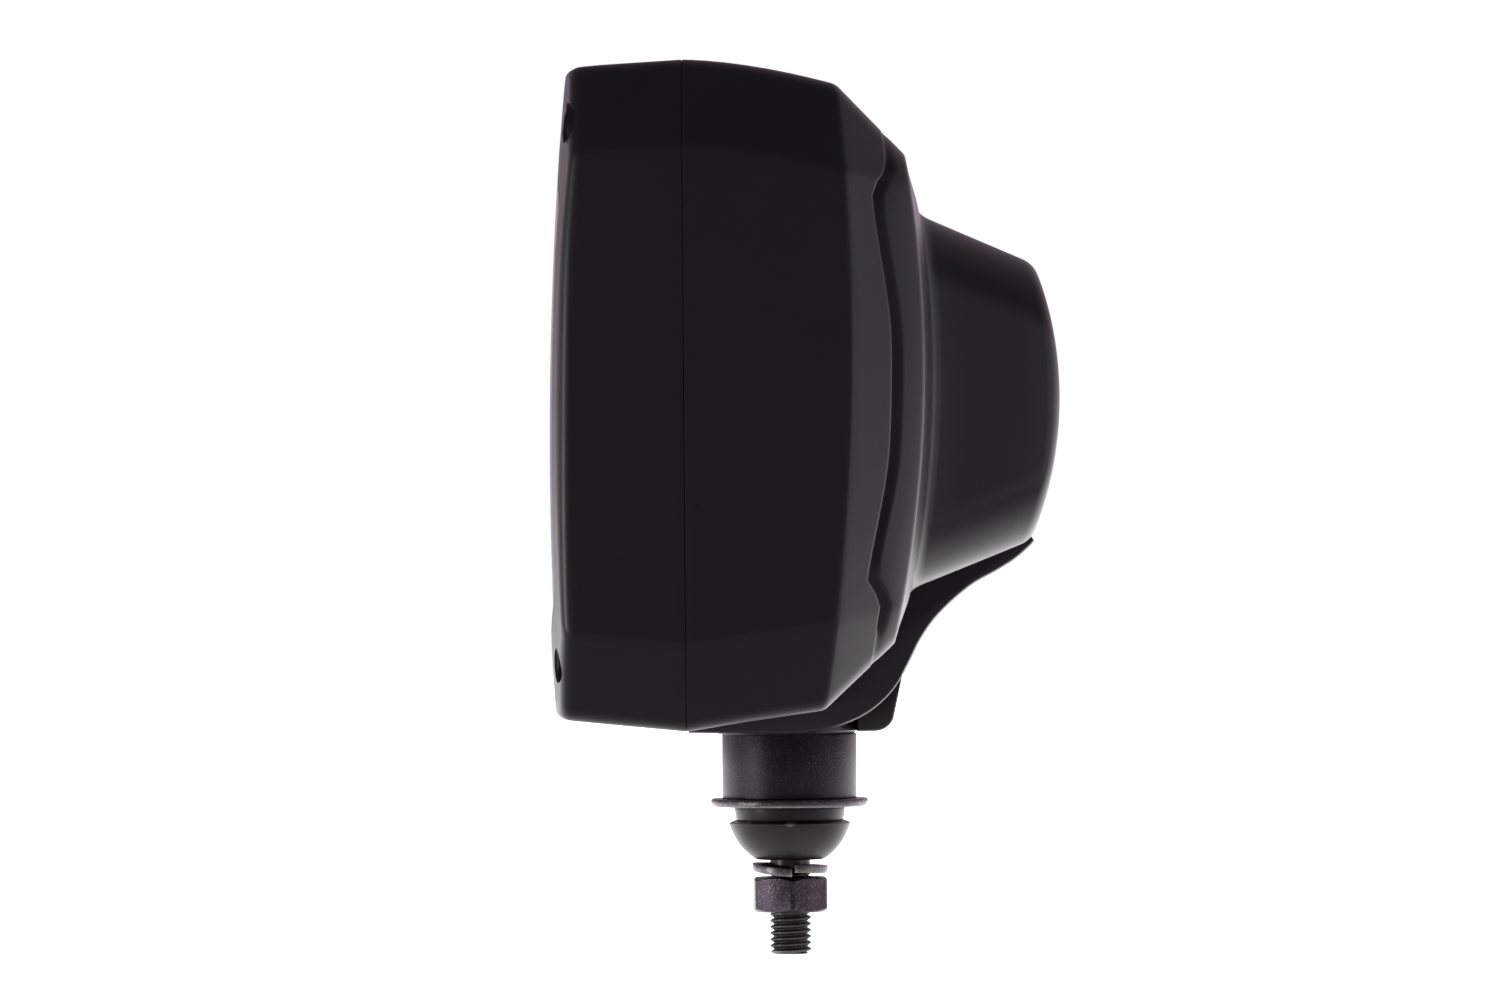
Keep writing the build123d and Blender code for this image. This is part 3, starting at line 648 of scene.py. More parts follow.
def make_shell():
    shell = skin("rear_shell_moulding", shell_rows(WALL, False)[::-1] + shell_rows(0.0, True))
    combine(shell, spine_solid("spine", SPINE_HALF, 0.0, 0.0), "UNION")
    combine(shell, spine_solid("hollow", SPINE_HALF - WALL, WALL, 6.0), "DIFFERENCE")
    profile = [(0, BOSS_Z), (16.3, BOSS_Z), (17.2, 18.2), (17.2, 24.0), (0, 24.0)]
    solids = [turned("boss", profile, 72, (0, -0.75, 0))]
    post = [(0, SEAM_Y), (POST_R, SEAM_Y), (POST_R, 0), (0, 0)]
    solids += [turned("post", post, 32, (x, 0, AXIS_Z + z), True) for x, z in CORNERS]
    combine(shell, joined("solids", solids), "UNION")
    bores = [turned("bore", [(0, 15.0), (STUD_BORE_R, 15.0), (STUD_BORE_R, 26.0), (0, 26.0)], 48)]
    bores += [turned("bore", [(0, 26.0), (5.3, 26.0), (5.3, 40.0), (0, 40.0)], 48, (0, INLET_Y, -8.0))]
    pilot = [(0, -26.0), (1.95, -26.0), (1.95, -4.0), (0, -4.0)]
    bores += [turned("bore", pilot, 24, (x, 0, AXIS_Z + z), True) for x, z in CORNERS]
    combine(shell, joined("bores", bores), "DIFFERENCE")
    shade(shell, 38)
    return shell


dress(make_shell(), HOUSING, "head", "rear_shell")

# ---- housing screws, reflector screws and plate screws -----------------------------------------------
# Zinc-plated steel screws. Each set is one screw repeated at its places: four long ones with a hexagon
# socket through the corners, four slotted ones behind the lens, and four on the plate in the boss.
ZINC = finish("zinc_plate", (0.42, 0.40, 0.34), (0.56, 0.54, 0.47), 0.34, 1.0, (2600.0, 0.10), 120.0, 0.16,
              wear=((0.75, 0.74, 0.70), 0.53, 0.6))


def geometry_tree(name, sockets):
    """Geometry nodes tree: a mesh and a finish in, a mesh out, and inputs given as (label, kind, value)."""
    tree = bpy.data.node_groups.new(name, "GeometryNodeTree")
    for label, kind, value in [("Geometry", "Geometry", None), *sockets, ("Finish", "Material", None)]:
        socket = tree.interface.new_socket(label, in_out="INPUT", socket_type="NodeSocket" + kind)
        if value is not None:
            socket.default_value = value
    tree.interface.new_socket("Geometry", in_out="OUTPUT", socket_type="NodeSocketGeometry")
    return tree, tree.nodes.new, tree.links.new, tree.nodes.new("NodeGroupInput")


def end_tree(tree, made, given):
    """Makes the copies real, sets the finish on them and sends them out."""
    real, coat = tree.nodes.new("GeometryNodeRealizeInstances"), tree.nodes.new("GeometryNodeSetMaterial")
    tree.links.new(made, real.inputs[0])
    tree.links.new(real.outputs[0], coat.inputs["Geometry"])
    tree.links.new(given.outputs["Finish"], coat.inputs["Material"])
    tree.links.new(coat.outputs[0], tree.nodes.new("NodeGroupOutput").inputs[0])
    return tree


def build_repeat_tree():
    """A copy of one screw, each turned one step further, at each vertex of the mesh that says where."""
    tree, new, link, given = geometry_tree("screw_set", [("Screw", "Object", None), ("Scale", "Float", 1.0),
                                                         ("Turn Step", "Float", 0.7)])
    screw, place = new("GeometryNodeObjectInfo"), new("GeometryNodeInstanceOnPoints")
    number, angles = new("GeometryNodeInputIndex"), new("ShaderNodeCombineXYZ")
    link(given.outputs["Screw"], screw.inputs["Object"])
    link(given.outputs["Geometry"], place.inputs["Points"])
    link(screw.outputs["Geometry"], place.inputs["Instance"])
    link(maths(tree, "MULTIPLY", number.outputs[0], given.outputs["Turn Step"]), angles.inputs["Z"])
    link(angles.outputs[0], place.inputs["Rotation"])
    link(given.outputs["Scale"], place.inputs["Scale"])
    return end_tree(tree, place.outputs[0], given)


def grown(name, start, tree, values, smooth_angle=35):
    """Runs a geometry nodes tree on a start mesh and keeps the result as a plain mesh."""
    thing = bpy.data.objects.new(name, start)
    bpy.context.scene.collection.objects.link(thing)
    step = thing.modifiers.new("nodes", "NODES")
    step.node_group = tree
    for item in tree.interface.items_tree:
        if item.in_out == "INPUT" and item.name in values:
            step[item.identifier] = values[item.name]
    evaluated(thing)
    shade(thing, smooth_angle)
    return thing


def points_mesh(points):
    mesh = bpy.data.meshes.new("places")
    mesh.from_pydata([tuple(MM * c for c in p) for p in points], [], [])
    return mesh


SCREW_SET = build_repeat_tree()


def screw_set(name, node, master, places, upright):
    """One screw drawn upright with its head's underside at zero, repeated at its places."""
    if not upright:
        master.data.transform(Matrix.Rotation(radians(90), 4, "X"))
    made = grown(name, points_mesh(places), SCREW_SET,
                 {"Screw": master, "Scale": 1.0, "Turn Step": 0.0, "Finish": ZINC}, 30)
    bpy.data.objects.remove(master)
    return dress(made, ZINC, "head", node)


def socket_screw(head_r, head_h, shank_r, length, flats):
    """Cap screw: chamfered head with a hexagon socket, or a slot where flats is 0, and a ringed thread."""
    profile = [(0, head_h), (head_r - 0.45, head_h), (head_r - 0.12, head_h - 0.12), (head_r, head_h - 0.45),
               (head_r, 0.15), (head_r - 0.15, 0), (shank_r, 0)]
    for i in range(int((length - 2) / 0.7)):
        z = -1.0 - 0.7 * i
        profile += [(shank_r, z), (shank_r * 0.86, z - 0.35)]
    profile += [(shank_r * 0.7, -length), (0, -length)]
    screw = turned("screw", profile[::-1], 36)
    if flats:
        r = flats / 3 ** 0.5
        profile = [(0, head_h - 1.5), (r, head_h - 1.3), (r, head_h - 0.1), (r + 0.3, head_h + 0.2),
                   (0, head_h + 0.2)]
        return combine(screw, turned("key", profile, 6), "DIFFERENCE")
    slot = block("key", (-head_r - 1, head_r + 1), (-0.32, 0.32), (head_h - 0.85, head_h + 1))
    return combine(screw, slot, "DIFFERENCE")


EARS = [(sx * 45.0, sz * 68.8) for sx in (1, -1) for sz in (1, -1)]
screw_set("housing_screws", "bezel_screws", socket_screw(3.5, 2.6, 1.9, 41.0, 3.0),
          [(x, COUNTERBORE_Y, AXIS_Z + z) for x, z in CORNERS], False)
screw_set("bowl_screws", "reflector_screws", socket_screw(2.8, 1.8, 1.4, 5.6, 0),
          [(x, front_y(x, z) + 9.82, AXIS_Z + z) for x, z in EARS], False)
screw_set("boss_plate_screws", "plate_screws", socket_screw(2.5, 1.8, 1.5, 6.5, 0),
          [(sx * 9.8, sy * 9.8, 27.0) for sx in (1, -1) for sy in (1, -1)], True)

# ---- seals and breather -----------------------------------------------------------------------------
# Black rubber: the ring in the rebate of the seam, the flat ring behind the lens, and the mushroom cap
# pushed through the rear wall that lets the housing breathe.
RUBBER = finish("rubber", (0.014, 0.014, 0.014), (0.022, 0.021, 0.021), 0.62, grain=(1800.0, 0.10),
                patches=90.0, gloss_change=0.14, dust=(0.05, 0.06, (0.16, 0.16, 0.15)))
for node in ("seam_gasket", "lens_gasket"):
    dress(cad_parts[node], RUBBER)
VENT_X, VENT_Z = -78.0, 18.0
cap_y = plateau_y(VENT_Z) - 0.35
profile = [(0, 3.0), (3.6, 2.95), (5.3, 2.55), (6.1, 1.8), (6.45, 0.8), (6.45, 0.25), (6.2, 0.0), (3.2, 0.0),
           (3.2, -3.0), (4.1, -3.25), (3.2, -4.6), (0, -4.6)]
cap = turned("breather_mushroom", [(r, cap_y + out) for r, out in profile], 64, (VENT_X, 0, AXIS_Z + VENT_Z),
             True, 50)
dress(cap, RUBBER, "head", "breather_cap")

# ---- lens -------------------------------------------------------------------------------------------
# Moulded clear glass: a smooth crowned face outside and vertical spreading flutes inside, in three rows
# of different pitch, with a lip all round that the bezel presses on the seal.
def make_glass(name, tint, rough, ior):
    material, tree, surface = new_material(name)
    surface.inputs["Transmission Weight"].default_value = 1.0
    surface.inputs["Base Color"].default_value = (*tint, 1)
    surface.inputs["IOR"].default_value = ior
    vector = tree.nodes.new("ShaderNodeTexCoord").outputs["Object"]
    skin_node = use(tree, GRAIN, vector, Scale=900.0, Patch_Scale=60.0)
    gloss = maths(tree, "MULTIPLY_ADD", skin_node.outputs["Patches"], 0.03)
    gloss.node.inputs[2].default_value = rough
    tree.links.new(gloss, surface.inputs["Roughness"])
    fine_bump(tree, surface, skin_node.outputs["Height"], 0.02)
    return material


LENS_GLASS = make_glass("lens_glass", (0.96, 0.985, 0.98), 0.02, 1.5)
FLUTE_STEP_Z = 22       # where the three rows of flutes meet


def flute(x, z):
    """Depth of the flutes inside the lens: narrow at the top and bottom, wide across the middle."""
    middle = np.abs(z) < FLUTE_STEP_Z
    t = (x / np.where(middle, 9.0, 6.0) + 0.5) % 1.0 - 0.5
    return np.where(middle, 1.3, 0.9) * (1 - 4 * t * t)


def make_lens():
    xs = np.linspace(-101, 101, 270)
    spans = ((-64, -22.02, 12), (-21.98, 21.98, 13), (22.02, 64, 12))
    zs = np.concatenate([np.linspace(*span) for span in spans])
    gx, gz = [g.ravel() for g in np.meshgrid(xs, zs, indexing="ij")]
    front = np.column_stack([gx, front_y(gx, gz) + 0.8, gz + AXIS_Z])
    back = np.column_stack([gx, front_y(gx, gz) + 5.3 - flute(gx, gz), gz + AXIS_Z])
    m, n = len(zs), len(xs)
    faces, size = [], m * n
    for i in range(n - 1):
        for j in range(m - 1):
            a = i * m + j
            b = size + a
            faces += [(a, a + m, a + m + 1, a + 1), (b, b + 1, b + m + 1, b + m)]
    rim = [i * m for i in range(n)] + [(n - 1) * m + j for j in range(1, m)]
    rim += [i * m + m - 1 for i in range(n - 2, -1, -1)] + [j for j in range(m - 2, 0, -1)]
    for a, b in zip(rim, rim[1:] + rim[:1]):
        faces.append((a, b, size + b, size + a))
    pad = mesh_object("lens_glass_moulding", np.vstack([front, back]), faces)
    cutter = skin_flat("window", [lifted(window(-0.5), -70.0), lifted(window(-0.5), -40.0)])
    combine(pad, cutter, "INTERSECT")
    lip = [(-1.4, 3.3), (3.2, 3.25), (3.3, 3.6), (3.3, 5.1), (3.1, 5.35), (-1.4, 5.3)]
    combine(pad, skin("lip", [on_front(window(grow), depth) for grow, depth in lip], loop=True), "UNION")
    shade(pad, 40)
    return pad


dress(make_lens(), LENS_GLASS, "head", "lens")

# ---- bowl and trim ----------------------------------------------------------------------------------
# The reflector is a pressed bowl with a bright vacuum-coated inside, cut off by level shelves above and
# below. A black moulded plate fills the corners between the bowl's mouth and the lens.
BRIGHT = finish("bright_coat", (0.86, 0.87, 0.88), (0.92, 0.92, 0.92), 0.07, 1.0, (500.0, 0.015), 30.0, 0.04)
BOWL_BACK = finish("bowl_back", (0.30, 0.30, 0.31), (0.40, 0.40, 0.40), 0.38, 1.0, (1500.0, 0.10), 60.0, 0.12)
TRIM = finish("trim_black", (0.011, 0.011, 0.012), (0.016, 0.015, 0.017), 0.22, grain=(2500.0, 0.03),
              patches=50.0, gloss_change=0.06, dust=(0.02, 0.05, (0.2, 0.2, 0.2)))


def make_coat():
    """Bright inside of the bowl: a thin smooth paraboloid with its two shelves."""
    def bowl(lift, half):
        radii = np.linspace(0, 82, 60)
        profile = [(r, 14.0 - lift - r * r / 96.0) for r in radii]
        solid = turned("bowl", profile + [(82.0, -75.0), (0, -75.0)], 160, (0, 0, AXIS_Z), True)
        between = block("keep", (-90, 90), (-80, 20), (AXIS_Z - half, AXIS_Z + half))
        return combine(solid, between, "INTERSECT")

    coat = combine(bowl(0.03, 55.97), bowl(0.25, 55.75), "DIFFERENCE")
    mouth = skin_flat("mouth", [on_front(window(30), -60.0), on_front(window(30), 7.9)])
    combine(coat, mouth, "DIFFERENCE")
    hole = turned("hole", [(0, -10), (19.2, -10), (19.2, 20), (0, 20)], 96, (0, 0, AXIS_Z), True)
    side = turned("side", [(0, -30), (6.2, -30), (6.2, 10), (0, 10)], 48, (30.0, 0, AXIS_Z - 34.0), True)
    combine(coat, joined("openings", [hole, side]), "DIFFERENCE")
    shade(coat, 35)
    return coat


coat = make_coat()
coat.name = "bowl_bright_coat"
dress(coat, BRIGHT, "head", None)
dress(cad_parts["reflector"], BOWL_BACK)
dress(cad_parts["inner_trim"], TRIM)

# ---- bulbs, clip and wiring -------------------------------------------------------------------------
# A two-filament halogen bulb sits in the bowl's hole, held by a hinged wire clip and fed by a push-on
# plug; a small wedge bulb in a rubber holder gives the position light.
BULB_GLASS = make_glass("bulb_glass_clear", (0.98, 0.985, 0.99), 0.0, 1.47)
BULB_METAL = finish("bulb_metal", (0.50, 0.49, 0.46), (0.62, 0.61, 0.58), 0.3, 1.0, (2200.0, 0.08), 80.0,
                    0.14)
BRASS = finish("contact_brass", (0.50, 0.37, 0.16), (0.62, 0.47, 0.22), 0.3, 1.0, (2000.0, 0.08), 150.0,
               0.15)
PLUG = finish("plug_moulding", (0.05, 0.05, 0.048), (0.07, 0.068, 0.066), 0.5, grain=(2600.0, 0.08),
              patches=70.0, gloss_change=0.1, dust=(0.03, 0.05, (0.2, 0.2, 0.19)))
WIRE = finish("wire_cover", (0.10, 0.012, 0.010), (0.14, 0.02, 0.016), 0.42, grain=(1500.0, 0.06),
              patches=160.0, gloss_change=0.12)
quarter = [i * pi / 24 for i in range(13)]
dome = [(8.5 * sin(a), -24.0 - 7.0 * cos(a)) for a in quarter]
hollow = [(7.5 * sin(a), -24.0 - 6.0 * cos(a)) for a in quarter[::-1]]
foot = [(8.5, 2.2), (7.9, 3.0), (0, 3.0), (0, -1.0), (7.2, -1.0), (7.5, -1.4)]
capsule = turned("bulb_capsule", dome + foot + hollow, 72, (0, 0, AXIS_Z), True, 50)
dress(capsule, BULB_GLASS, "head", "bulb_glass")
for node, coat_of in {"bulb_filaments": BULB_METAL, "bulb_base": BULB_METAL, "bulb_terminals": BRASS,
                      "bulb_plug": PLUG, "bulb_clip": ZINC, "position_bulb": BULB_GLASS,
                      "position_holder": RUBBER, "lead_wires": WIRE, "inlet_pins": BRASS,
                      "stud_plate": ZINC}.items():
    dress(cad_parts[node], coat_of)

# ---- supply inlet -----------------------------------------------------------------------------------
# Shroud of the supply connector, a separate black moulding pushed into the spine behind the boss. It
# opens downwards round four pins.
SOCKET = finish("socket_moulding", (0.0095, 0.0088, 0.0092), (0.013, 0.012, 0.0125), 0.5,
                grain=(2600.0, 0.09), patches=60.0, gloss_change=0.1, dust=(0.03, 0.05, (0.2, 0.19, 0.2)))


def make_inlet():
    corner = [(20.4 + 4.7 * sin(a), 22.4 - 4.4 * cos(a)) for a in np.linspace(0.0, 1.45, 9)]
    loop = np.array([(16.2, 18.0)] + corner + [(27.0, 31.0), (25.6, 31.6), (21.0, 27.5), (16.2, 24.5)])
    inwards = np.array([21.5, 24.0]) - loop
    inwards /= np.linalg.norm(inwards, axis=1)[:, None]
    body = slab("inlet_shroud", 10.5, (0.8, 0.2), (0.9, 0.35), lambda shrink: loop + inwards * shrink)
    combine(body, block("cavity", (-9.2, 9.2), (18.9, 23.5), (10.0, 22.4)), "DIFFERENCE")
    profile = [(0, 27.5), (5.2, 27.5), (5.2, 32.7), (6.0, 32.8), (6.0, 33.9), (0, 33.9)]
    combine(body, turned("neck", profile, 40, (0, INLET_Y, 0)), "UNION")
    shade(body, 35)
    return body


dress(make_inlet(), SOCKET, "head", "inlet_socket")

# ---- sleeve and washer ------------------------------------------------------------------------------
# Spacer tube with a sparkling dark coat between the boss and the wide steel washer that the ball's ring
# is pressed against. The washer's rim is rubbed bright.
SLEEVE_COAT = finish("sparkle_coat", (0.014, 0.0122, 0.0136), (0.023, 0.0203, 0.0226), 0.31, 0.4,
                     (2400.0, 0.35), 140.0, 0.10, flakes=(2600.0, 0.30, 0.45, (0.05, 0.046, 0.049), 3.4))
WASHER_STEEL = finish("washer_steel", (0.080, 0.072, 0.076), (0.16, 0.148, 0.154), 0.21, 0.9,
                      (2400.0, 0.35), 170.0, 0.2, wear=((0.30, 0.29, 0.30), 0.56, 0.64),
                      flakes=(2100.0, 0.15, 0.4, (0.30, 0.28, 0.29), 2.0))
profile = [(STUD_BORE_R, 2.02), (15.8, 2.02), (16.05, 2.2), (16.1, 2.6), (16.1, 9.0), (16.1, 17.1),
           (16.0, 17.35), (15.8, 17.41), (STUD_BORE_R, 17.41)]
sleeve = turned("sleeve_tube", profile, 128)
dress(sleeve, SLEEVE_COAT, "head", "mount_sleeve")
profile = [(STUD_BORE_R, 0.0), (18.2, 0.0), (18.6, 0.12), (18.82, 0.45), (18.85, 0.8), (18.85, 1.35),
           (18.75, 1.75), (18.45, 1.95), (18.1, 2.0), (STUD_BORE_R, 2.0)]
washer = turned("wide_washer", profile, 128, smooth_angle=50)
dress(washer, WASHER_STEEL, "swivel", "flange_washer")

# ---- ball and cup -----------------------------------------------------------------------------------
# A ring that is a zone of a ball, and a pressed cup that it turns and tips in. Both are turned steel with
# a dark oiled phosphate skin.
PHOSPHATE = finish("phosphate", (0.0105, 0.0091, 0.0088), (0.018, 0.0158, 0.0153), 0.36, 0.5,
                   (3200.0, 0.14), 110.0, 0.12, wear=((0.16, 0.145, 0.135), 0.57, 0.66),
                   dust=(0.03, 0.03, (0.12, 0.11, 0.105)))
BALL_R, SEAT_R, CUP_R = 13.2, 13.25, 15.07


def arc(radius, start, end, count):
    return [(radius * cos(a), radius * sin(a)) for a in np.linspace(start, end, count)]


profile = [(STUD_BORE_R, -9.98), (8.3, -9.98)] + arc(BALL_R, -0.855, -0.02, 26)
ring = turned("ball_zone", profile + [(13.0, -0.02), (STUD_BORE_R, -0.02)], 128, smooth_angle=50)
dress(ring, PHOSPHATE, "swivel", "ball_ring")
profile = [(6.7, -12.7), (7.7, -12.7)] + arc(CUP_R, -0.985, -0.30, 30)
profile += [(14.5, -4.0), (14.3, -3.8), (13.25, -3.3), (13.0, -3.3)]
profile += [p for p in arc(SEAT_R, -0.26, -1.0395, 30) if p[0] > 6.9] + [(6.75, -11.6)]
cup = turned("cup_pressing", profile, 128, smooth_angle=50)
dress(cup, PHOSPHATE, "seat", "ball_cup")

# ---- spring washer ----------------------------------------------------------------------------------
# One turn of flat steel spring, cut through and set so that its ends stand apart.
SPRING_STEEL = finish("spring_steel", (0.075, 0.070, 0.072), (0.15, 0.142, 0.144), 0.33, 0.95,
                      (2400.0, 0.16), 180.0, 0.2, wear=((0.42, 0.41, 0.41), 0.55, 0.63))


def make_spring_washer():
    section = [(5.2, -0.8), (5.4, -1.0), (8.75, -1.0), (8.98, -0.88), (9.05, -0.6), (9.05, 0.6),
               (8.98, 0.88), (8.75, 1.0), (5.4, 1.0), (5.2, 0.8)]
    # Height of the middle of the section at each twelfth of the turn, from the raised end to the low one.
    heights = [-14.72, -14.85, -15.0, -15.1, -15.1, -14.98, -14.8, -14.6, -14.42, -14.4, -14.75, -15.3,
               -15.72]
    rows = []
    for i in range(121):
        t = i / 120
        angle = radians(7.5 + 355.0 * t)
        z = np.interp(t, np.linspace(0, 1, 13), heights) - AXIS_Z
        rows.append(np.array([(r * cos(angle), r * sin(angle), z + h) for r, h in section]))
    washer = skin_flat("split_washer", rows)
    shade(washer, 40)
    return washer


dress(make_spring_washer(), SPRING_STEEL, "washer", "spring_washer")

# ---- nut --------------------------------------------------------------------------------------------
# Hexagonal steel nut, its ends turned to a cone, with a dark finish that shows a violet sheen.
NUT = finish("nut_dark_violet", (0.040, 0.030, 0.039), (0.079, 0.063, 0.083), 0.35, 0.95,
             (2000.0, 0.20), 210.0, 0.14, flakes=(3400.0, 0.24, 0.45, (0.19, 0.15, 0.18), 0.9))
NUT_TOP, NUT_BOTTOM, NUT_FLATS = -16.85, -25.25, 17.0


def make_nut():
    corner = NUT_FLATS / 3 ** 0.5
    loop = []
    for a in np.radians(np.arange(6) * 60 + 3.0):
        for d in (-0.05, -0.025, 0.0, 0.025, 0.05):
            r = corner - 0.12 - 6.0 * d * d
            loop.append((r * cos(a + d), r * sin(a + d)))
    rows = [np.array([(x, y, z - AXIS_Z) for x, y in loop]) for z in (NUT_BOTTOM, NUT_TOP)]
    body = skin_flat("hexagon_nut", rows)
    half = [(8.1, 0.0), (8.35, 0.12), (9.95, 1.05)]     # the cone turned on each end
    profile = [(0, NUT_BOTTOM)] + [(r, NUT_BOTTOM + h) for r, h in half]
    profile += [(r, NUT_TOP - h) for r, h in half[::-1]] + [(0, NUT_TOP)]
    combine(body, turned("cone", profile, 96), "INTERSECT")
    profile = [(0, NUT_BOTTOM - 1), (5.9, NUT_BOTTOM - 1), (5.9, NUT_BOTTOM), (5.06, NUT_BOTTOM + 0.8),
               (5.06, NUT_TOP - 0.8), (5.9, NUT_TOP), (5.9, NUT_TOP + 1), (0, NUT_TOP + 1)]
    combine(body, turned("bore", profile, 64), "DIFFERENCE")
    shade(body, 30)
    return body


dress(make_nut(), NUT, "nut", "hex_nut")

# ---- stud -------------------------------------------------------------------------------------------
# M10 steel stud with a rolled thread of 1.5 mm pitch, its hexagon head seated on the plate in the boss.
# The thread is drawn into the shank by geometry nodes.
STUD = finish("stud_steel", (0.050, 0.044, 0.043), (0.092, 0.082, 0.080), 0.36, 0.85, (2800.0, 0.14),
              160.0, 0.16, wear=((0.26, 0.245, 0.24), 0.56, 0.64))


def build_thread_tree():
    """Presses a helical groove into an upright round bar, from the start height down."""
    tree, new, link, given = geometry_tree("rolled_thread", [
        ("Pitch", "Float", 0.0015), ("Depth", "Float", 0.0009), ("Crest", "Float", 0.22),
        ("Start Height", "Float", -0.0144)])
    apart, flat = new("ShaderNodeSeparateXYZ"), new("ShaderNodeCombineXYZ")
    move = new("GeometryNodeSetPosition")
    link(new("GeometryNodeInputPosition").outputs[0], apart.inputs[0])
    x, y, z = apart.outputs[0], apart.outputs[1], apart.outputs[2]

    def do(operation, a, b=None, clamp=False):
        return maths(tree, operation, a, b, clamp)

    turns = do("DIVIDE", do("ARCTAN2", y, x), 2 * pi)
    phase = do("FRACT", do("SUBTRACT", do("DIVIDE", z, given.outputs["Pitch"]), turns))
    slope = do("SUBTRACT", 0.5, do("ABSOLUTE", do("SUBTRACT", phase, 0.5)))
    half_crest = do("DIVIDE", given.outputs["Crest"], 2.0)
    shape = do("MULTIPLY", do("SUBTRACT", slope, half_crest), 2.9, True)
    below = do("MULTIPLY", do("SUBTRACT", given.outputs["Start Height"], z), 1200.0, True)
    deep = do("MULTIPLY", do("MULTIPLY", shape, below), given.outputs["Depth"])
    radius = do("SQRT", do("ADD", do("MULTIPLY", x, x), do("MULTIPLY", y, y)))
    wide = do("GREATER_THAN", radius, 0.0044)
    pressed = do("MULTIPLY", wide, do("DIVIDE", deep, do("MAXIMUM", radius, 0.001)))
    keep = do("SUBTRACT", 1.0, pressed)
    link(do("MULTIPLY", x, keep), flat.inputs[0])
    link(do("MULTIPLY", y, keep), flat.inputs[1])
    link(z, flat.inputs[2])
    link(given.outputs["Geometry"], move.inputs["Geometry"])
    link(flat.outputs[0], move.inputs["Position"])
    return end_tree(tree, move.outputs[0], given)


SHANK_R, THREAD_R, HEAD_Z = 4.8, 4.95, 27.0


def make_stud():
    bar = [(0, HEAD_Z), (SHANK_R, HEAD_Z), (SHANK_R, 2.0), (SHANK_R, -12.5)]
    bar += [(SHANK_R, z) for z in np.arange(-12.6, -25.2, -0.125)]
    bar += [(THREAD_R, z) for z in np.arange(-25.3, -34.55, -0.0625)]
    bar += [(4.75, -34.85), (4.25, -35.2), (3.9, -35.3), (0, -35.3)]
    start = turned("bar", bar[::-1], 96)
    stud = grown("stud_threaded", start.data, build_thread_tree(), {"Finish": STUD}, 55)
    bpy.data.objects.remove(start)
    corner = NUT_FLATS / 3 ** 0.5 - 0.1
    profile = [(0, HEAD_Z), (corner, HEAD_Z), (corner, 33.0), (corner - 0.8, 33.4), (0, 33.4)]
    combine(stud, turned("head", profile, 6), "UNION")
    shade(stud, 40)
    return stud


dress(make_stud(), STUD, "head", "mounting_stud")

# ---- camera, floor and light ------------------------------------------------------------------------
# Plain pale floor and a bright surround behind and below; the side towards the camera stays dim. Two
# small soft lamps, low down, draw the highlights on the sleeve, the washers and the nut.
FLOOR_HALF, FLOOR_Z = 4000, -35.6
floor = mesh_object("floor", [(x * FLOOR_HALF, y * FLOOR_HALF, FLOOR_Z)
                              for x, y in ((-1, -1), (1, -1), (1, 1), (-1, 1))], [(0, 1, 2, 3)])
pale, tree, surface = new_material("pale_floor")
surface.inputs["Base Color"].default_value = (0.8, 0.8, 0.8, 1)
surface.inputs["Roughness"].default_value = 0.9
surface.inputs["Emission Color"].default_value = (1, 1, 1, 1)
# The floor glows beyond the object and fades out towards the camera, but always looks white itself.
across, falloff = tree.nodes.new("ShaderNodeSeparateXYZ"), tree.nodes.new("ShaderNodeMapRange")
tree.links.new(tree.nodes.new("ShaderNodeTexCoord").outputs["Object"], across.inputs[0])
tree.links.new(across.outputs["X"], falloff.inputs["Value"])
for label, value in (("From Min", -0.08), ("From Max", 0.11), ("To Min", 2.4), ("To Max", 0.17)):
    falloff.inputs[label].default_value = value
seen = tree.nodes.new("ShaderNodeLightPath").outputs["Is Camera Ray"]
tree.links.new(maths(tree, "MAXIMUM", falloff.outputs[0], maths(tree, "MULTIPLY", seen, 0.9)),
               surface.inputs["Emission Strength"])
floor.data.materials.append(pale)

world = bpy.data.worlds.new("studio")
bpy.context.scene.world = world
world.use_nodes = True
nodes, links = world.node_tree.nodes, world.node_tree.links
nodes.clear()
output, path, choose = [nodes.new("ShaderNode" + kind) for kind in ("OutputWorld", "LightPath", "MixShader")]
glow, clean = nodes.new("ShaderNodeBackground"), nodes.new("ShaderNodeBackground")
place, apart = nodes.new("ShaderNodeTexCoord"), nodes.new("ShaderNodeSeparateXYZ")
links.new(place.outputs["Generated"], apart.inputs[0])


def sky_ramp(axis, stops):
    """Brightness of the surround along one axis, as (place, level) stops from its negative end."""
    ramp = nodes.new("ShaderNodeValToRGB")
    half = maths(world.node_tree, "MULTIPLY", apart.outputs[axis], 0.5)
    links.new(maths(world.node_tree, "ADD", half, 0.5), ramp.inputs[0])
    elements = ramp.color_ramp.elements
    while len(elements) < len(stops):
        elements.new(0.5)
    for element, (where, level) in zip(elements, stops):
        element.position = where
        element.color = (level, level * 0.92, level * 0.985, 1)
    return ramp.outputs[0]


def sky_mix(mode, a, b):
    """Two colours of the surround mixed in full; b may be a fixed colour."""
    node = nodes.new("ShaderNodeMix")
    node.data_type, node.blend_type = "RGBA", mode
    node.inputs["Factor"].default_value = 1.0
    links.new(a, node.inputs[6])
    if isinstance(b, tuple):
        node.inputs[7].default_value = b
    else:
        links.new(b, node.inputs[7])
    return node.outputs[2]


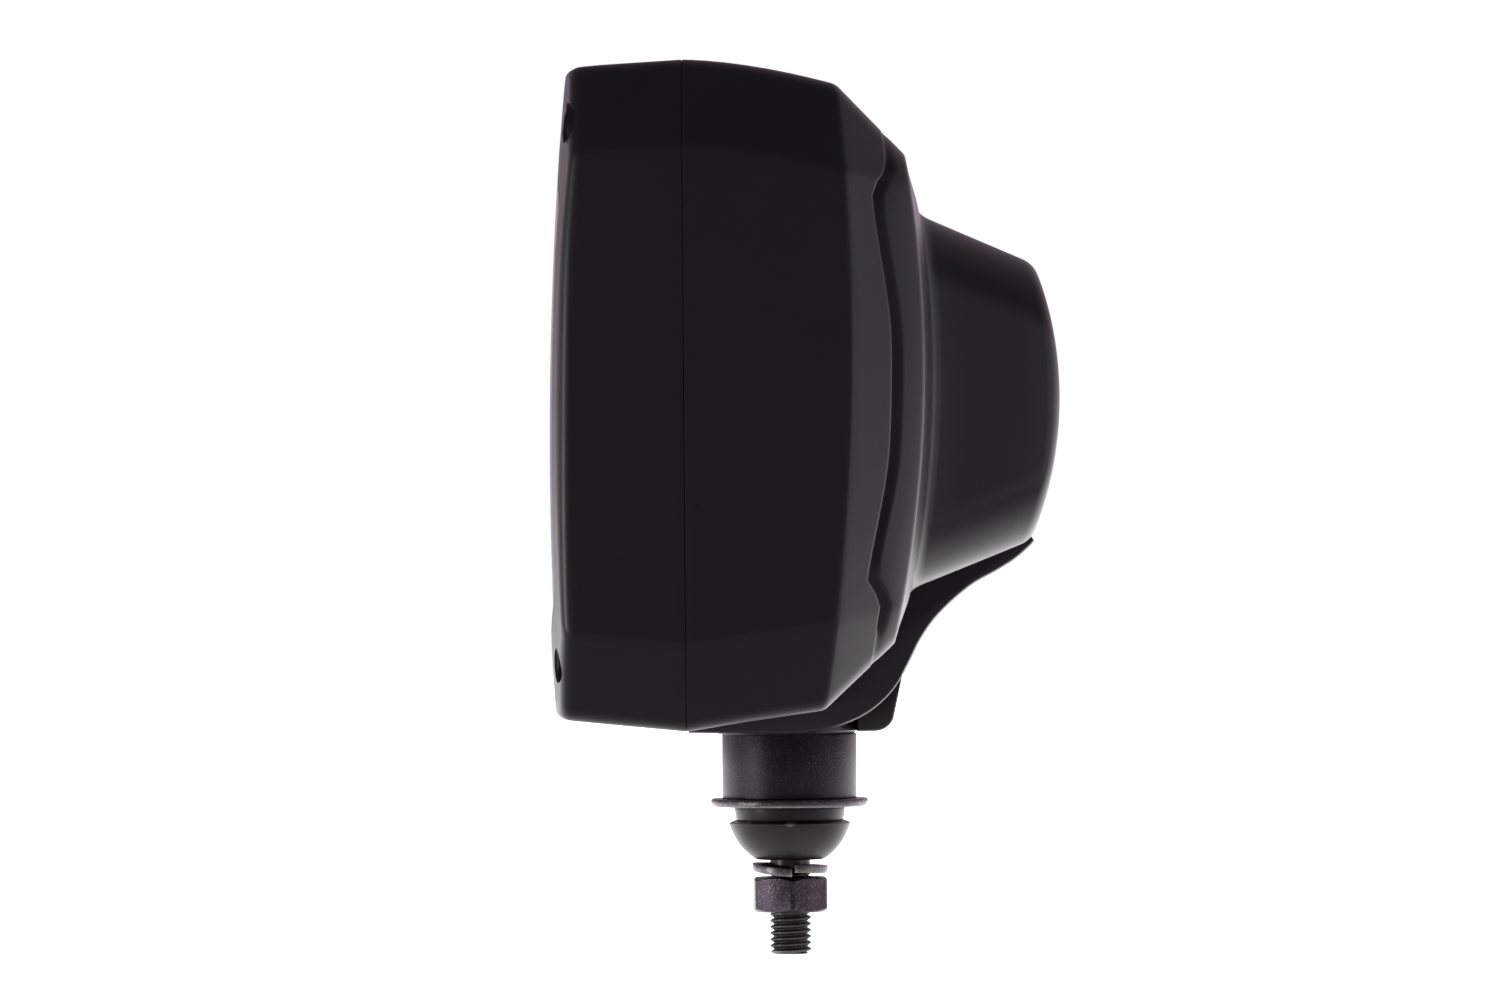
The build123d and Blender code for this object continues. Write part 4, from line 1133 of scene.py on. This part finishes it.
sky = sky_ramp("X", [(0.30, 1.0), (0.50, 0.52), (0.68, 0.27), (0.82, 0.175), (1.0, 0.165)])
sky = sky_mix("MULTIPLY", sky, sky_ramp("Z", [(0.0, 1.0), (0.52, 1.0), (0.66, 0.5), (0.9, 0.3)]))
sky = sky_mix("MULTIPLY", sky, sky_ramp("Y", [(0.0, 0.5), (0.42, 0.55), (0.60, 1.0)]))
links.new(sky_mix("LIGHTEN", sky, (0.145, 0.134, 0.145, 1)), glow.inputs["Color"])
glow.inputs["Strength"].default_value = 1.0
clean.inputs["Color"].default_value = (1, 1, 1, 1)
clean.inputs["Strength"].default_value = 1.0
links.new(path.outputs["Is Camera Ray"], choose.inputs[0])
links.new(glow.outputs[0], choose.inputs[1])
links.new(clean.outputs[0], choose.inputs[2])
links.new(choose.outputs[0], output.inputs[0])


def softbox(name, degrees_round, height, width, tall, energy):
    """Soft lamp 1.5 m away, at an angle round the object from the camera's side, facing its axis."""
    a = radians(degrees_round)
    lamp = bpy.data.lights.new(name, "AREA")
    lamp.shape = "RECTANGLE"
    lamp.size, lamp.size_y, lamp.energy = width, tall, energy
    thing = bpy.data.objects.new(name, lamp)
    thing.location = (1.5 * cos(a), 1.5 * sin(a), height)
    thing.rotation_euler = (radians(90), 0, a + pi / 2)
    bpy.context.scene.collection.objects.link(thing)


softbox("low_strip", -65, -0.006, 0.06, 0.05, 3.4)
softbox("low_panel", 68, 0.02, 0.5, 0.1, 0.7)

lens_of_camera = bpy.data.cameras.new("camera")
lens_of_camera.lens = 252.0
lens_of_camera.sensor_width = 36.0
lens_of_camera.clip_end = 50.0
camera = bpy.data.objects.new("camera", lens_of_camera)
camera.location = (2.5, -0.0098, 0.0733)
level = Euler((radians(90), 0, radians(90))).to_matrix().to_4x4()
camera.rotation_euler = (Matrix.Rotation(radians(-0.42), 4, "X") @ level).to_euler()
bpy.context.scene.collection.objects.link(camera)
bpy.context.scene.camera = camera
bpy.context.scene.view_settings.view_transform = "Standard"
